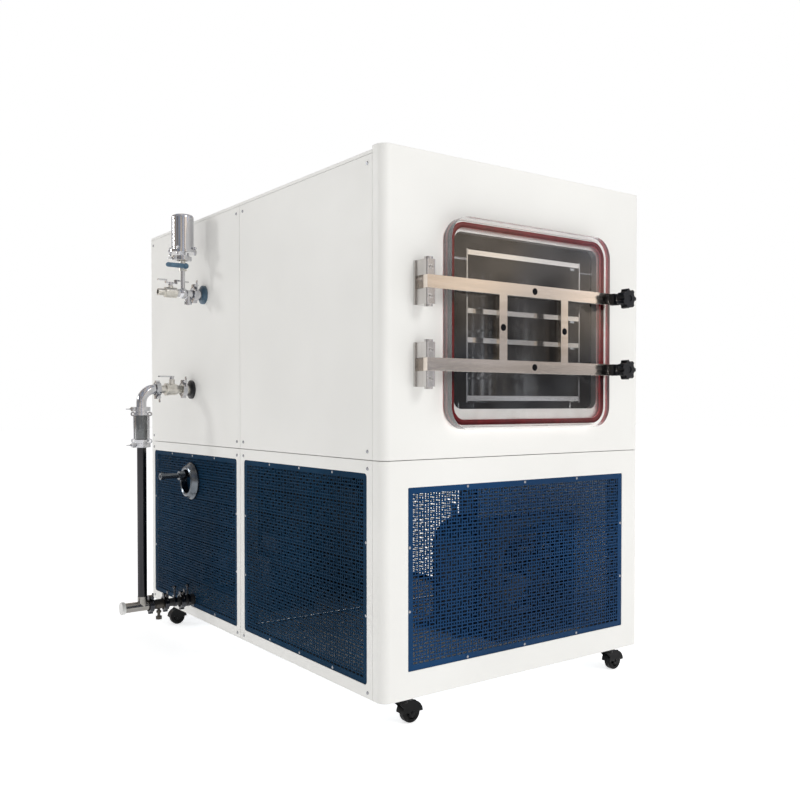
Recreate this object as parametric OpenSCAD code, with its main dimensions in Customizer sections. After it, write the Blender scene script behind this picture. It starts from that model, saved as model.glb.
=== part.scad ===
// Production freeze dryer: a two-bay sheet-metal cabinet on casters, a shelf chamber
// behind a clear hinged door, and steel valve and drain pipework on the left side.
// Lengths are in millimetres, +Z is up and the front faces -Y.

/* [Cabinet] */
// Width of the cabinet, left to right
cabinet_w = 1120; // [1060:5:1400]
// Depth of the cabinet, front to back
cabinet_d = 1780; // [1700:10:2200]
// Height of the cabinet above its casters
cabinet_h = 1600; // [1560:5:1960]
// Clearance between the floor and the cabinet
floor_gap = 90; // [86:1:110]
// Height of the joint between lower and upper panels
seam_z = 697; // [690:1:760]
// Distance from the front to the joint between the two bays
bay_y = 905; // [880:5:1000]
// Depth of the folded front covers
cover_d = 50; // [44:1:60]
// Radius of the front covers' upright corners
cover_r = 28; // [16:1:40]
// Depth of the folded side and back panels
pan_d = 20; // [16:1:30]
// Depth of the folded roof panels
roof_d = 10; // [8:1:16]
// Step from the front cover's top down to the roof
roof_step = 10; // [4:1:20]
// Thickness of the sheet metal
sheet_t = 2; // [1.5:0.1:3]
// Width of the open joint between two panels
panel_gap = 2; // [1:0.2:4]
// Side of the square frame tube
frame_tube = 40; // [36:1:50]
// Wall of the square frame tube
frame_wall = 3; // [2:0.5:5]

/* [Grilles] */
// Margin of cover around the front window
front_margin = 91; // [60:1:120]
// White margin above and below the front window
front_margin_z = 80; // [50:1:110]
// Side window's margin to its panel's upright edges
side_margin_y = 29; // [24:1:60]
// Side window's margin to its panel's lower and upper edges
side_margin_z = 38; // [30:1:60]
// Corner radius of the windows
window_r = 12; // [4:1:20]
// Corner radius of the front window
front_window_r = 4; // [2:1:12]
// Overlap of a grille behind its window frame
grille_lap = 12; // [8:1:16]
// Thickness of the grille sheet
grille_t = 1.5; // [1:0.1:3]
// Border of a grille without slots
grille_border = 20; // [10:1:40]
// Length of one grille slot
slot_len = 52; // [30:1:80]
// Width of one grille slot
slot_w = 12; // [6:1:16]
// Bar left between two slots
slot_bar = 10; // [6:1:16]

/* [Chamber and door] */
// Width of the chamber opening
opening_w = 624; // [500:1:640]
// Height of the chamber opening
opening_h = 531; // [420:1:560]
// Height of the door's centre above the cabinet's bottom
door_z = 1100; // [1080:1:1150]
// Corner radius of the chamber opening
opening_r = 30; // [16:1:50]
// Depth of the chamber
chamber_d = 760; // [650:5:800]
// Wall of the chamber
chamber_wall = 8; // [5:1:12]
// Width of the clear door
door_w = 690; // [688:1:720]
// Height of the clear door
door_h = 632; // [600:1:660]
// Thickness of the clear door
door_t = 36; // [25:1:40]
// Corner radius of the clear door
door_r = 70; // [50:1:90]
// Thickness of the door gasket
gasket_t = 12; // [8:1:16]
// Width of the door gasket's band
gasket_w = 14; // [10:1:18]
// Distance from the door's edge in to the gasket
gasket_in = 6; // [4:1:12]
// Height of a door bar
bar_h = 38; // [30:1:44]
// Thickness of a door bar
bar_t = 14; // [10:1:16]
// Distance of a bar's centre from the door's centre
bar_off = 118.5; // [100:0.5:130]
// Distance between the two upright bars
rung_gap = 266; // [200:1:320]
// Width of an upright bar
rung_w = 32; // [24:1:40]
// Door centre to ladder centre, towards the hinge
ladder_off = 21; // [0:1:40]
// Bolt hole through the bars
bolt_d = 14; // [10:0.5:16]

/* [Hinges and clamps] */
// Hinge pin axis, left of the door's edge
hinge_reach = 85; // [80:1:100]
// Outer diameter of a hinge barrel
barrel_d = 32; // [28:1:36]
// Diameter of a hinge pin
pin_d = 18; // [12:1:20]
// Radial clearance of everything that turns
run_gap = 0.05; // [0.02:0.01:0.1]
// Clamp screw axis, right of the door's edge
clamp_reach = 13; // [12:0.5:20]
// Diameter of a clamp screw
stud_d = 12; // [8:0.5:14]
// Diameter of a clamp block
block_d = 38; // [34:1:44]
// Inward travel of a clamp screw
clamp_travel = 6; // [4:0.5:7]
// Diameter of a star knob over its lobes
knob_d = 66; // [58:1:78]
// Thickness of a star knob
knob_t = 26; // [18:1:30]

/* [Shelves] */
// Number of shelves
shelf_n = 6; // [3:1:6]
// Width of a shelf
shelf_w = 486; // [400:2:500]
// Depth of a shelf
shelf_len = 600; // [450:5:620]
// Thickness of a shelf
shelf_t = 15; // [10:1:18]
// Height of a shelf's pitch
shelf_pitch = 88.8; // [60:0.2:90]
// Distance from the front to the shelves
shelf_y = 16; // [10:1:30]
// Thickness of a rack side plate
rack_t = 4; // [3:0.5:6]

/* [Pipework] */
// Distance from the front to the vent group
vent_y = 1219; // [1150:1:1250]
// Height of the vent group
vent_z = 1287; // [1200:1:1300]
// Distance from the side to the vent's upright pipe
vent_reach = 87; // [80:1:100]
// Outer diameter of the vent filter
filter_d = 84; // [70:1:90]
// Distance from the front to the drain group
drain_y = 1340; // [1310:1:1400]
// Height of the drain valve
drain_z = 918; // [900:1:960]
// Distance from the side to the drain's upright pipe
drain_reach = 209; // [200:1:230]
// Height of the lowest pipe run
low_z = 68.6; // [60:0.2:80]
// Outer diameter of the drain pipe
pipe_d = 38; // [32:0.5:40]
// Wall of the pipes
pipe_wall = 2; // [1.5:0.5:3]
// Diameter of the pipe ferrules
ferrule_d = 46; // [44:0.5:50]
// Height of the vacuum port
port_z = 548; // [500:1:560]
// Outer diameter of the vacuum port's flange
port_d = 150; // [140:1:170]

/* [Casters] */
// Diameter of a caster wheel
wheel_d = 62; // [50:1:66]
// Width of a caster wheel
wheel_w = 24; // [18:1:28]
// Distance between a caster's swivel and its axle
caster_trail = 32; // [24:1:36]
// Diameter of a caster axle
axle_d = 10; // [8:1:12]

/* [Hidden] */
$fn = 48;
fit = 0.3;
roof_z = cabinet_h - roof_step;
rail_top = roof_z - roof_d;
post_in = pan_d;
rear_y = cabinet_d - pan_d;
deck_z = frame_tube;
deck_t = 3;
deck_top = deck_z + deck_t;
seam_rail_z = seam_z - frame_tube / 2;
seam_rail_top = seam_rail_z + frame_tube;
door_x = cabinet_w / 2;
flange_t = 20;
flange_in = 7;
chamber_y = flange_t + chamber_d;
chamber_z0 = door_z - 0.5 - opening_h / 2 + 11;
chamber_z1 = chamber_z0 + opening_h;
chamber_cz = (chamber_z0 + chamber_z1) / 2;
door_back = -gasket_t;
door_front = door_back - door_t;
bar_front = door_front - bar_t;
door_left = door_x - door_w / 2;
door_right = door_x + door_w / 2;
hinge_x = door_left - hinge_reach;
hinge_y = bar_front + barrel_d / 2 + 1;
clamp_x = door_right + clamp_reach;
bar_z0 = door_z - 7 - bar_off;
bar_z1 = door_z - 7 + bar_off;
bars_z = [bar_z0, bar_z1];
ladder_x = door_x - ladder_off;
bar_end = clamp_x - block_d / 2 - 1;
lug_h = 45;
lug_w = 32;
lug_reach = bar_h / 2 + fit + lug_h;
hinge_plate_w = 44;
hinge_plate_t = 8;
block_front = bar_front - 10;
washer_t = 3;
washer_front = block_front - 1 - clamp_travel - washer_t;
hub_t = 14;
star_back = washer_front - hub_t;
boss_len = 30;
stud_tip = -boss_len - 2;
shelf_end = 33;
shelf_step = min(shelf_pitch, (opening_h - 2 * shelf_end) / (shelf_n - 1));
shelf_z0 = chamber_z0 + shelf_end - shelf_t / 2;
rack_x0 = door_x - shelf_w / 2 - 1 - rack_t;
rack_foot = 20;
rack_top = shelf_z0 + (shelf_n - 1) * shelf_step + shelf_t + 3;
drain_x = -drain_reach;
vent_x = -vent_reach;
stem_d = 16;
sight_top = drain_z - 92;
sight_bot = sight_top - 115;
sight_flange_t = 10;
cap_reach = 85;
x_lo = drain_x - cap_reach;
y_lo = star_back - knob_t;
axle_z = wheel_d / 2 - floor_gap;
caster_plate_t = 4;
caster_boss_h = 8;
kingpin_d = 12;
fork_top = -caster_plate_t - caster_boss_h - 0.6;
cheek_gap = 1.5;
cheek_t = 4;
// Caster places: x, y and the heading of the trailing wheel
casters = [[105, 55, 0], [cabinet_w - 105, 55, 0],
           [74, cabinet_d - 170, 180], [cabinet_w - 74, cabinet_d - 170, 180]];

// Moves cabinet coordinates to the object's origin, the middle of its box on the floor
module place() {
    translate([-(x_lo + cabinet_w) / 2, -(y_lo + cabinet_d) / 2, floor_gap]) children();
}

// A rectangle with round corners, from its lowest corner
module round_rect(w, h, r) {
    translate([r, 0]) square([w - 2 * r, h]);
    translate([0, r]) square([w, h - 2 * r]);
    for (x = [r, w - r], y = [r, h - r]) {
        translate([x, y]) circle(r);
    }
}

// The same rectangle around its middle
module round_rect_mid(w, h, r) {
    translate([-w / 2, -h / 2]) round_rect(w, h, r);
}

// Stands an outline up in the XZ plane, from y0 back to y0 + t
module front_plate(y0, t) {
    translate([0, y0 + t, 0]) rotate([90, 0, 0]) linear_extrude(t) children();
}

// Stands an outline up in the YZ plane, from x0 to x0 + t
module side_plate(x0, t) {
    translate([x0, 0, 0]) rotate([90, 0, 90]) linear_extrude(t) children();
}

// Repeats a left-hand piece on the right-hand side
module both_sides() {
    children();
    translate([cabinet_w, 0, 0]) mirror([1, 0, 0]) children();
}

// A rod along X between two places
module rod_x(x0, x1, y, z, d) {
    translate([x0, y, z]) rotate([0, 90, 0]) cylinder(d = d, h = x1 - x0);
}

// A rod along Y between two places
module rod_y(y0, y1, x, z, d) {
    translate([x, y1, z]) rotate([90, 0, 0]) cylinder(d = d, h = y1 - y0);
}

// A rod along Z between two heights
module rod_z(z0, z1, x, y, d) {
    translate([x, y, z0]) cylinder(d = d, h = z1 - z0);
}

// A length of square frame tube along the longest of its three sizes
module square_tube(place, size) {
    w = frame_wall;
    long = max(size);
    bore = [for (s = size) s == long ? s + 2 : s - 2 * w];
    back = [for (s = size) s == long ? -1 : w];
    translate(place) difference() {
        cube(size);
        translate(back) cube(bore);
    }
}

// A folded panel, open on the +X side
module pan(size, depth) {
    difference() {
        cube([depth, size[0], size[1]]);
        translate([sheet_t, sheet_t, sheet_t])
            cube([depth, size[0] - 2 * sheet_t, size[1] - 2 * sheet_t]);
    }
}

// Front faces of the three pairs of posts, and the heights of the three rail levels
posts_y = [cover_d, bay_y - frame_tube / 2, rear_y - frame_tube];
rails_z = [0, seam_rail_z, rail_top - frame_tube];
// Front faces of the cross rails that carry the chamber and the cold trap
chamber_rails_y = [cover_d + 90, chamber_y - 120];
trap_rails_y = [bay_y + 120, rear_y - 240];

module frame_posts() {
    t = frame_tube;
    color("#8f959b") both_sides() for (y = posts_y) {
        square_tube([post_in, y, 0], [t, t, rail_top]);
    }
}

module frame_side_rails() {
    t = frame_tube;
    color("#8f959b") both_sides() for (z = rails_z, k = [0, 1]) {
        square_tube([post_in, posts_y[k] + t, z], [t, posts_y[k + 1] - posts_y[k] - t, t]);
    }
}

module frame_cross_rails() {
    t = frame_tube;
    inner_w = cabinet_w - 2 * post_in - 2 * t;
    color("#8f959b") {
        for (y = posts_y, z = rails_z) {
            square_tube([post_in + t, y, z], [inner_w, t, t]);
        }
        for (y = concat(chamber_rails_y, trap_rails_y)) {
            square_tube([post_in + t, y, seam_rail_z], [inner_w, t, t]);
        }
        square_tube([post_in + t, casters[2][1] - t / 2, 0], [inner_w, t, t]);
    }
}

// The two floor sheets, and the sheet along the right-hand frame that keeps the condenser's air in
module inner_sheets() {
    t = frame_tube;
    lap = t / 4;
    bays = [[cover_d + t + panel_gap, bay_y - t / 2 - panel_gap],
            [bay_y + t / 2 + panel_gap, rear_y - t - panel_gap]];
    baffle_y = [cover_d + t + 2 * panel_gap, fan_y + condenser_d + 520];
    baffle_h = seam_rail_z - deck_top - panel_gap;
    color("#9aa0a6") {
        for (b = bays) {
            translate([post_in + t - lap, b[0], deck_z])
                cube([cabinet_w - 2 * (post_in + t - lap), b[1] - b[0], deck_t]);
        }
        translate([cabinet_w - post_in - t - sheet_t, baffle_y[0], deck_top + fit])
            cube([sheet_t, baffle_y[1] - baffle_y[0], baffle_h]);
    }
}

// Plan of a front cover, set in from its outside by a distance
module cover_plan(inset) {
    intersection() {
        translate([inset, inset]) round_rect(cabinet_w - 2 * inset, 3 * cover_d, cover_r - inset);
        square([cabinet_w, cover_d]);
    }
}

// A folded front cover between two heights: front sheet, returns, flanges and rear lips
module front_cover(z0, z1) {
    lip = post_in + 6;
    difference() {
        translate([0, 0, z0]) linear_extrude(z1 - z0) cover_plan(0);
        translate([0, 0, z0 + sheet_t]) linear_extrude(z1 - z0 - 2 * sheet_t) intersection() {
            cover_plan(sheet_t);
            square([cabinet_w, cover_d - sheet_t]);
        }
        translate([lip, cover_d / 2, z0 + lip]) cube([cabinet_w - 2 * lip, cover_d, z1 - z0 - 2 * lip]);
    }
}

module lower_front_cover() {
    win_h = seam_z - 2 * front_margin_z;
    color("#f1f0ec") difference() {
        front_cover(0, seam_z - panel_gap / 2);
        front_plate(-1, sheet_t + 2) translate([front_margin, front_margin_z])
            round_rect(cabinet_w - 2 * front_margin, win_h, front_window_r);
    }
}

module upper_front_cover() {
    hole_w = door_w - 2 * flange_in + 2;
    hole_h = door_h - 2 * flange_in + 2;
    color("#f1f0ec") difference() {
        front_cover(seam_z + panel_gap / 2, cabinet_h);
        front_plate(-1, sheet_t + 2) translate([door_x, door_z])
            round_rect_mid(hole_w, hole_h, door_r - flange_in + 1);
    }
}

// Slots of a grille in a w by h field: upright and level pairs take turns
module slot_field(w, h) {
    cell = slot_len + slot_bar;
    nx = floor((w + slot_bar) / cell);
    ny = floor((h + slot_bar) / cell);
    x0 = (w - nx * cell + slot_bar) / 2;
    y0 = (h - ny * cell + slot_bar) / 2;
    n = floor((slot_len + slot_bar) / (slot_w + slot_bar));
    step = (slot_len - slot_w) / (n - 1);
    for (i = [0 : nx - 1], j = [0 : ny - 1], k = [0 : n - 1]) {
        translate([x0 + i * cell, y0 + j * cell])
            if ((i + j) % 2 == 0) translate([0, k * step]) square([slot_len, slot_w]);
            else translate([k * step, 0]) square([slot_w, slot_len]);
    }
}

// A slotted sheet of a given size, from its lowest corner
module grille_sheet(w, h) {
    edge = grille_lap + grille_border;
    difference() {
        square([w, h]);
        translate([edge, edge]) slot_field(w - 2 * edge, h - 2 * edge);
    }
}

module front_grille() {
    win_h = seam_z - 2 * front_margin_z;
    color("#1f3f5c") front_plate(sheet_t, grille_t)
        translate([front_margin - grille_lap, front_margin_z - grille_lap])
            grille_sheet(cabinet_w - 2 * front_margin + 2 * grille_lap, win_h + 2 * grille_lap);
}

// Front and rear ends of the two bays' side panels
bays_y = [[cover_d + panel_gap / 2, bay_y - panel_gap / 2], [bay_y + panel_gap / 2, cabinet_d]];

module side_grilles() {
    m = side_margin_y - grille_lap;
    z = side_margin_z - grille_lap;
    color("#1b3a55") both_sides() for (b = bays_y) {
        side_plate(sheet_t, grille_t) translate([b[0] + m, z])
            grille_sheet(b[1] - b[0] - 2 * m, seam_z - panel_gap / 2 - 2 * z);
    }
}

module lower_side_panels() {
    h = seam_z - panel_gap / 2;
    color("#e4e4e2") both_sides() for (b = bays_y) {
        difference() {
            translate([0, b[0], 0]) pan([b[1] - b[0], h], pan_d);
            side_plate(-1, sheet_t + 2) translate([b[0] + side_margin_y, side_margin_z])
                round_rect(b[1] - b[0] - 2 * side_margin_y, h - 2 * side_margin_z, window_r);
        }
    }
}

// Round holes in the upper side panel where the pipes come through
module wall_hole(y, z, d) {
    rod_x(-1, pan_d, y, z, d);
}

// The panels without a window: the upper sides, the back and the roof
module blank_panels() {
    z0 = seam_z + panel_gap / 2;
    z1 = rail_top - panel_gap / 2;
    x0 = pan_d + panel_gap;
    rows = [[0, seam_z - panel_gap / 2], [z0, z1]];
    color("#e6e6e4") {
        difference() {
            both_sides() for (b = bays_y) {
                translate([0, b[0], z0]) pan([b[1] - b[0], z1 - z0], pan_d);
            }
            wall_hole(vent_y, vent_z, vent_tail_d + 2);
            wall_hole(drain_y, drain_z, drain_tail_d + 2);
        }
        for (r = rows) {
            translate([x0, cabinet_d, r[0]]) rotate([0, 0, -90])
                pan([cabinet_w - 2 * x0, r[1] - r[0]], pan_d);
        }
        for (b = bays_y) {
            translate([0, b[0], roof_z]) rotate([0, 90, 0]) pan([b[1] - b[0], cabinet_w], roof_d);
        }
    }
}

// One panel screw on the left side, with a domed head
module panel_screw(y, z) {
    translate([0, y, z]) rotate([0, -90, 0]) cylinder(d1 = 11, d2 = 8, h = 2.5);
}

module panel_screws() {
    in = 25;
    color("#4a4d50") both_sides() for (b = bays_y, y = [b[0] + in, b[1] - in]) {
        for (z = [in - 8, seam_z - in, seam_z + in, rail_top - in]) {
            panel_screw(y, z);
        }
    }
}

module chamber() {
    leg = frame_tube;
    color("#b9bcbf") difference() {
        union() {
            front_plate(0, flange_t) translate([door_x, door_z])
                round_rect_mid(door_w - 2 * flange_in, door_h - 2 * flange_in, door_r - flange_in);
            front_plate(0, chamber_y + chamber_wall) translate([door_x, chamber_cz])
                round_rect_mid(opening_w + 2 * chamber_wall, opening_h + 2 * chamber_wall,
                    opening_r + chamber_wall);
            for (x = [-1, 1], y = chamber_rails_y) {
                translate([door_x + x * opening_w / 3 - leg / 2, y, seam_rail_top])
                    cube([leg, leg, chamber_z0 - seam_rail_top]);
            }
        }
        front_plate(-1, chamber_y + 1) translate([door_x, chamber_cz])
            round_rect_mid(opening_w, opening_h, opening_r);
    }
}

module door_gasket() {
    w = door_w - 2 * gasket_in;
    h = door_h - 2 * gasket_in;
    color("#a3262c") front_plate(door_back, gasket_t) translate([door_x, door_z]) difference() {
        round_rect_mid(w, h, door_r - gasket_in);
        round_rect_mid(w - 2 * gasket_w, h - 2 * gasket_w, door_r - gasket_in - gasket_w);
    }
}

// Bolt places on the door bars, in the XZ plane
bolts_xz = [[ladder_x, bar_z0], [ladder_x, bar_z1],
            [ladder_x - rung_gap / 2, (bar_z0 + bar_z1) / 2],
            [ladder_x + rung_gap / 2, (bar_z0 + bar_z1) / 2]];
bolt_shank = 8;
bolt_depth = 18;

module door_panel() {
    color("#d8e4e6", 0.4) difference() {
        front_plate(door_front, door_t) translate([door_x, door_z])
            round_rect_mid(door_w, door_h, door_r);
        for (b = bolts_xz) {
            rod_y(door_front - 1, door_front + bolt_depth, b[0], b[1], bolt_shank + 2 * run_gap);
        }
    }
}

module door_frame() {
    bar_x0 = hinge_x - barrel_d / 2 - 1;
    color("#c9c6c0") difference() {
        union() {
            for (z = bars_z) {
                translate([bar_x0, bar_front, z - bar_h / 2]) cube([bar_end - bar_x0, bar_t, bar_h]);
                rod_z(z - bar_h / 2, z + bar_h / 2, hinge_x, hinge_y, barrel_d);
            }
            for (s = [-1, 1]) {
                translate([ladder_x + s * rung_gap / 2 - rung_w / 2, bar_front, bar_z0])
                    cube([rung_w, bar_t, bar_z1 - bar_z0]);
            }
        }
        for (z = bars_z) {
            rod_z(z - lug_reach, z + lug_reach, hinge_x, hinge_y, pin_d + 2 * run_gap);
        }
        for (b = bolts_xz) {
            rod_y(bar_front - 1, door_front + 1, b[0], b[1], bolt_d);
        }
    }
}

module door_bolts() {
    color("#17181a") for (b = bolts_xz) {
        rod_y(bar_front + 2, door_front, b[0], b[1], bolt_d - 2 * run_gap);
        rod_y(door_front, door_front + bolt_depth - 1, b[0], b[1], bolt_shank);
    }
}

// Plan of a hinge lug: a block that stands forward from the base plate
module lug_plan() {
    depth = -bar_front - 3 - hinge_plate_t / 2;
    translate([hinge_x - lug_w / 2, bar_front + 3]) round_rect(lug_w, depth, 5);
}

module hinge_brackets() {
    screw_d = 13;
    color("#b4b6b8") for (z = bars_z) {
        difference() {
            union() {
                translate([hinge_x - lug_w / 2 - 4, -hinge_plate_t, z - lug_reach])
                    cube([hinge_plate_w, hinge_plate_t, 2 * lug_reach]);
                for (low = [z - lug_reach, z + lug_reach - lug_h]) {
                    translate([0, 0, low]) linear_extrude(lug_h) lug_plan();
                    rod_y(bar_front - 1, bar_front + 4, hinge_x, low + lug_h / 2, screw_d);
                }
            }
            rod_z(z - lug_reach - 1, z + lug_reach + 1, hinge_x, hinge_y, pin_d + 2 * run_gap);
            for (low = [z - lug_reach, z + lug_reach - lug_h]) {
                rod_y(bar_front - 2, bar_front + 2, hinge_x, low + lug_h / 2, screw_d / 2);
            }
        }
    }
}

module hinge_pins() {
    head_h = 7;
    color("#c4c6c8") for (z = bars_z) {
        rod_z(z - lug_reach - head_h, z + lug_reach, hinge_x, hinge_y, pin_d);
        rod_z(z + lug_reach, z + lug_reach + head_h, hinge_x, hinge_y, pin_d + 8);
        rod_z(z - lug_reach - head_h, z - lug_reach, hinge_x, hinge_y, pin_d + 6);
    }
}

module clamp_blocks() {
    depth = door_front - block_front;
    color("#141518") for (z = bars_z) {
        difference() {
            front_plate(block_front, depth) union() {
                translate([clamp_x, z]) circle(d = block_d);
                translate([bar_end, z - block_d / 2]) square([clamp_x - bar_end, block_d]);
            }
            rod_y(block_front - 1, 0, clamp_x, z, stud_d + 2 * run_gap);
        }
    }
}

module thrust_washer(z) {
    color("#b9bcbf") difference() {
        rod_y(washer_front, washer_front + washer_t, clamp_x, z, block_d - 4);
        rod_y(washer_front - 1, 0, clamp_x, z, stud_d + 2 * run_gap);
    }
}

// A seven-pointed star knob with a hub, a dished face and its clamp screw
module star_knob(z) {
    points = 7;
    scallop_r = knob_d * 0.17;
    color("#101114") translate([clamp_x, 0, z]) difference() {
        union() {
            front_plate(star_back - knob_t, knob_t) difference() {
                circle(d = knob_d);
                for (k = [0 : points - 1]) {
                    rotate((k + 0.5) * 360 / points) translate([knob_d / 2 + 4, 0]) circle(scallop_r);
                }
            }
            rod_y(star_back, washer_front, 0, 0, block_d);
            rod_y(washer_front, stud_tip, 0, 0, stud_d);
        }
        rod_y(star_back - knob_t - 1, star_back - knob_t + 3, 0, 0, knob_d * 0.36);
    }
}

module clamp_bosses() {
    color("#8c9094") for (z = bars_z) {
        difference() {
            union() {
                rod_y(-boss_len, 0, clamp_x, z, stud_d + 6);
                translate([clamp_x - 9, -4, z - 26]) cube([36, 4, 52]);
            }
            rod_y(-boss_len - 1, 1, clamp_x, z, stud_d + 1);
        }
    }
}

module shelves() {
    color("#d7d8d9") for (k = [0 : shelf_n - 1]) {
        translate([door_x - shelf_w / 2, shelf_y, shelf_z0 + k * shelf_step])
            cube([shelf_w, shelf_len, shelf_t]);
    }
}

module shelf_rack() {
    ledge = 10;
    spacer_d = 14;
    color("#c6c8ca") for (s = [0, 1]) {
        translate([door_x, 0, 0]) mirror([s, 0, 0]) translate([-door_x, 0, 0]) {
            translate([rack_x0, shelf_y, chamber_z0 + rack_foot])
                cube([rack_t, shelf_len, rack_top - chamber_z0 - rack_foot]);
            for (y = [shelf_y + 40, shelf_y + shelf_len - 60]) {
                translate([rack_x0, y, chamber_z0]) cube([rack_t, 20, rack_foot]);
                rod_x(door_x - opening_w / 2, rack_x0 + 1, y, rack_top - 25, spacer_d);
            }
            for (k = [0 : shelf_n - 1]) {
                translate([rack_x0 + rack_t, shelf_y + 30, shelf_z0 + k * shelf_step - rack_t])
                    cube([ledge, shelf_len - 60, rack_t]);
            }
        }
    }
}

module oil_manifold() {
    header_d = 32;
    riser_in = 46;
    y = shelf_y + shelf_len + 34;
    color("#b8bbbe") for (x = [door_x - shelf_w / 4, door_x + shelf_w / 4]) {
        rod_z(shelf_z0 - 10, rack_top + 4, x, y, header_d);
        rod_y(y, chamber_y, x, chamber_cz, header_d);
        for (z = [shelf_z0 + 40, rack_top - 30]) {
            rod_x(x - riser_in, x + riser_in, y, z, 12);
        }
        for (s = [-1, 1]) {
            rod_z(shelf_z0, rack_top - 6, x + s * riser_in, y, 14);
        }
        for (k = [0 : shelf_n - 1]) {
            rod_y(shelf_y + shelf_len, y, x, shelf_z0 + k * shelf_step + shelf_t / 2, 10);
        }
    }
}

// Middle of the fan and its outer size
fan_x = 800;
fan_z = deck_top + 230;
fan_y = 190;
fan_r = 160;
shaft_d = 12;
condenser_d = 90;

module compressor() {
    y = 430;
    x = 668;
    z = deck_top;
    color("#2c3e57") {
        for (s = [-1, 1]) {
            translate([x - 130, y + s * 110 - 20, z]) cube([260, 40, 16]);
        }
        difference() {
            union() {
                rod_z(z + 16, z + 40, x, y, 250);
                rod_z(z + 40, z + 300, x, y, 230);
                translate([x, y, z + 300]) sphere(d = 230);
                rod_x(x, x + 150, y, z + 220, 40);
                rod_z(z + 300, z + 450, x - 50, y, 22);
            }
            rod_x(x + 110, x + 151, y, z + 220, 28);
        }
    }
}

module condenser() {
    half = fan_r + 30;
    depth = condenser_d;
    z0 = fan_z - half;
    color("#7d858c") {
        difference() {
            translate([fan_x - half, fan_y, z0]) cube([2 * half, depth, 2 * half]);
            rod_y(fan_y - 1, fan_y + depth - 8, fan_x, fan_z, 2 * fan_r + 16);
            for (k = [0 : 7]) {
                translate([fan_x - half + 20, fan_y + depth - 9, z0 + 20 + k * 44])
                    cube([2 * half - 40, 10, 22]);
            }
        }
        translate([fan_x - half, fan_y, deck_top]) cube([2 * half, depth, z0 - deck_top]);
        translate([fan_x - fan_r - 20, fan_y + depth - 22, fan_z - 15])
            cube([2 * fan_r + 40, 14, 30]);
        rod_y(fan_y + 40, fan_y + depth - 22, fan_x, fan_z, 80);
        rod_y(fan_y + 8, fan_y + 40, fan_x, fan_z, shaft_d);
    }
}

module condenser_fan() {
    blades = 5;
    color("#23262a") translate([fan_x, 0, fan_z]) difference() {
        union() {
            rod_y(fan_y + 10, fan_y + 34, 0, 0, 76);
            for (k = [0 : blades - 1]) {
                rotate([0, k * 360 / blades, 0]) translate([30, fan_y + 22, 0]) rotate([28, 0, 0])
                    translate([0, -1.5, -30]) cube([fan_r - 34, 3, 60]);
            }
        }
        rod_y(fan_y, fan_y + 40, 0, 0, shaft_d + 2 * run_gap);
    }
}

trap_d = 500;
trap_y0 = bay_y + 60;
trap_y1 = rear_y - 140;
trap_z = seam_rail_top + 30 + trap_d / 2;

module cold_trap() {
    color("#9fa4a8") {
        rod_y(trap_y0, trap_y1, door_x, trap_z, trap_d);
        rod_y(chamber_y + chamber_wall, trap_y0, door_x, trap_z, 160);
        for (y = trap_rails_y) {
            translate([door_x - 150, y, seam_rail_top]) cube([300, frame_tube, 100]);
        }
    }
}

module vacuum_pump() {
    x = 300;
    y0 = bay_y + 150;
    z = deck_top;
    color("#35506e") {
        translate([x - 110, y0, z]) cube([220, 520, 20]);
        translate([x - 90, y0 + 20, z + 20]) cube([180, 240, 190]);
        translate([x - 40, y0 + 60, z + 210]) cube([80, 120, 70]);
        rod_y(y0 + 260, y0 + 500, x, z + 130, 180);
        translate([x - 30, y0 + 300, z + 20]) cube([60, 160, 40]);
    }
}

module electrical_box() {
    z = deck_top;
    color("#b4b8bb") difference() {
        translate([590, bay_y + 120, z]) cube([290, 420, 460]);
        translate([589, bay_y + 150, z + 40]) cube([4, 360, 380]);
    }
}

// Outer diameters of the two pipe tails that pass through the side
vent_tail_d = stem_d + 16;
drain_tail_d = pipe_d - 6;

// A round rubber seal on the left side: a flat rim and a tapered lip
module pipe_seal(y, z, bore, rim, lip) {
    translate([0, y, z]) rotate([0, -90, 0]) difference() {
        union() {
            cylinder(d = rim[0], h = rim[1]);
            translate([0, 0, rim[1]]) cylinder(d1 = lip[0], d2 = lip[1], h = lip[2]);
        }
        translate([0, 0, -1]) cylinder(d = bore + 2 * run_gap, h = rim[1] + lip[2] + 2);
    }
}

module pipe_seals() {
    color("#2b3f4e") {
        pipe_seal(vent_y, vent_z, vent_tail_d, [72, 9], [72, 44, 8]);
        pipe_seal(drain_y, drain_z, drain_tail_d, [74, 8], [68, 50, 6]);
    }
}

clamp_w = 17;
clamp1_x = -40;
clamp_vent_z = vent_z + 127;
filter_z = vent_z + 154;
ball_d = 42;

module vent_fitting() {
    color("#c2c4c6") {
        rod_x(clamp1_x + 2, pan_d - 2, vent_y, vent_z, vent_tail_d);
        rod_x(clamp1_x, clamp1_x + 4, vent_y, vent_z, ferrule_d);
        difference() {
            union() {
                rod_x(clamp1_x - 4, clamp1_x, vent_y, vent_z, ferrule_d);
                rod_x(vent_x - 24, clamp1_x - 4, vent_y, vent_z, stem_d + 14);
                translate([vent_x, vent_y, vent_z]) sphere(d = ball_d);
                rod_z(vent_z, vent_z + 86, vent_x, vent_y, stem_d);
                rod_z(vent_z - 42, vent_z, vent_x + 21, vent_y, 22);
                rod_z(vent_z - 42, vent_z - 30, vent_x + 21, vent_y, 28);
            }
            rod_z(vent_z - 43, vent_z - 12, vent_x + 21, vent_y, 17);
        }
    }
}

valve_lo = vent_z + 86;
valve_hi = vent_z + 117;
lever_z = vent_z + 102;
lever_y = vent_y - 24;

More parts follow.
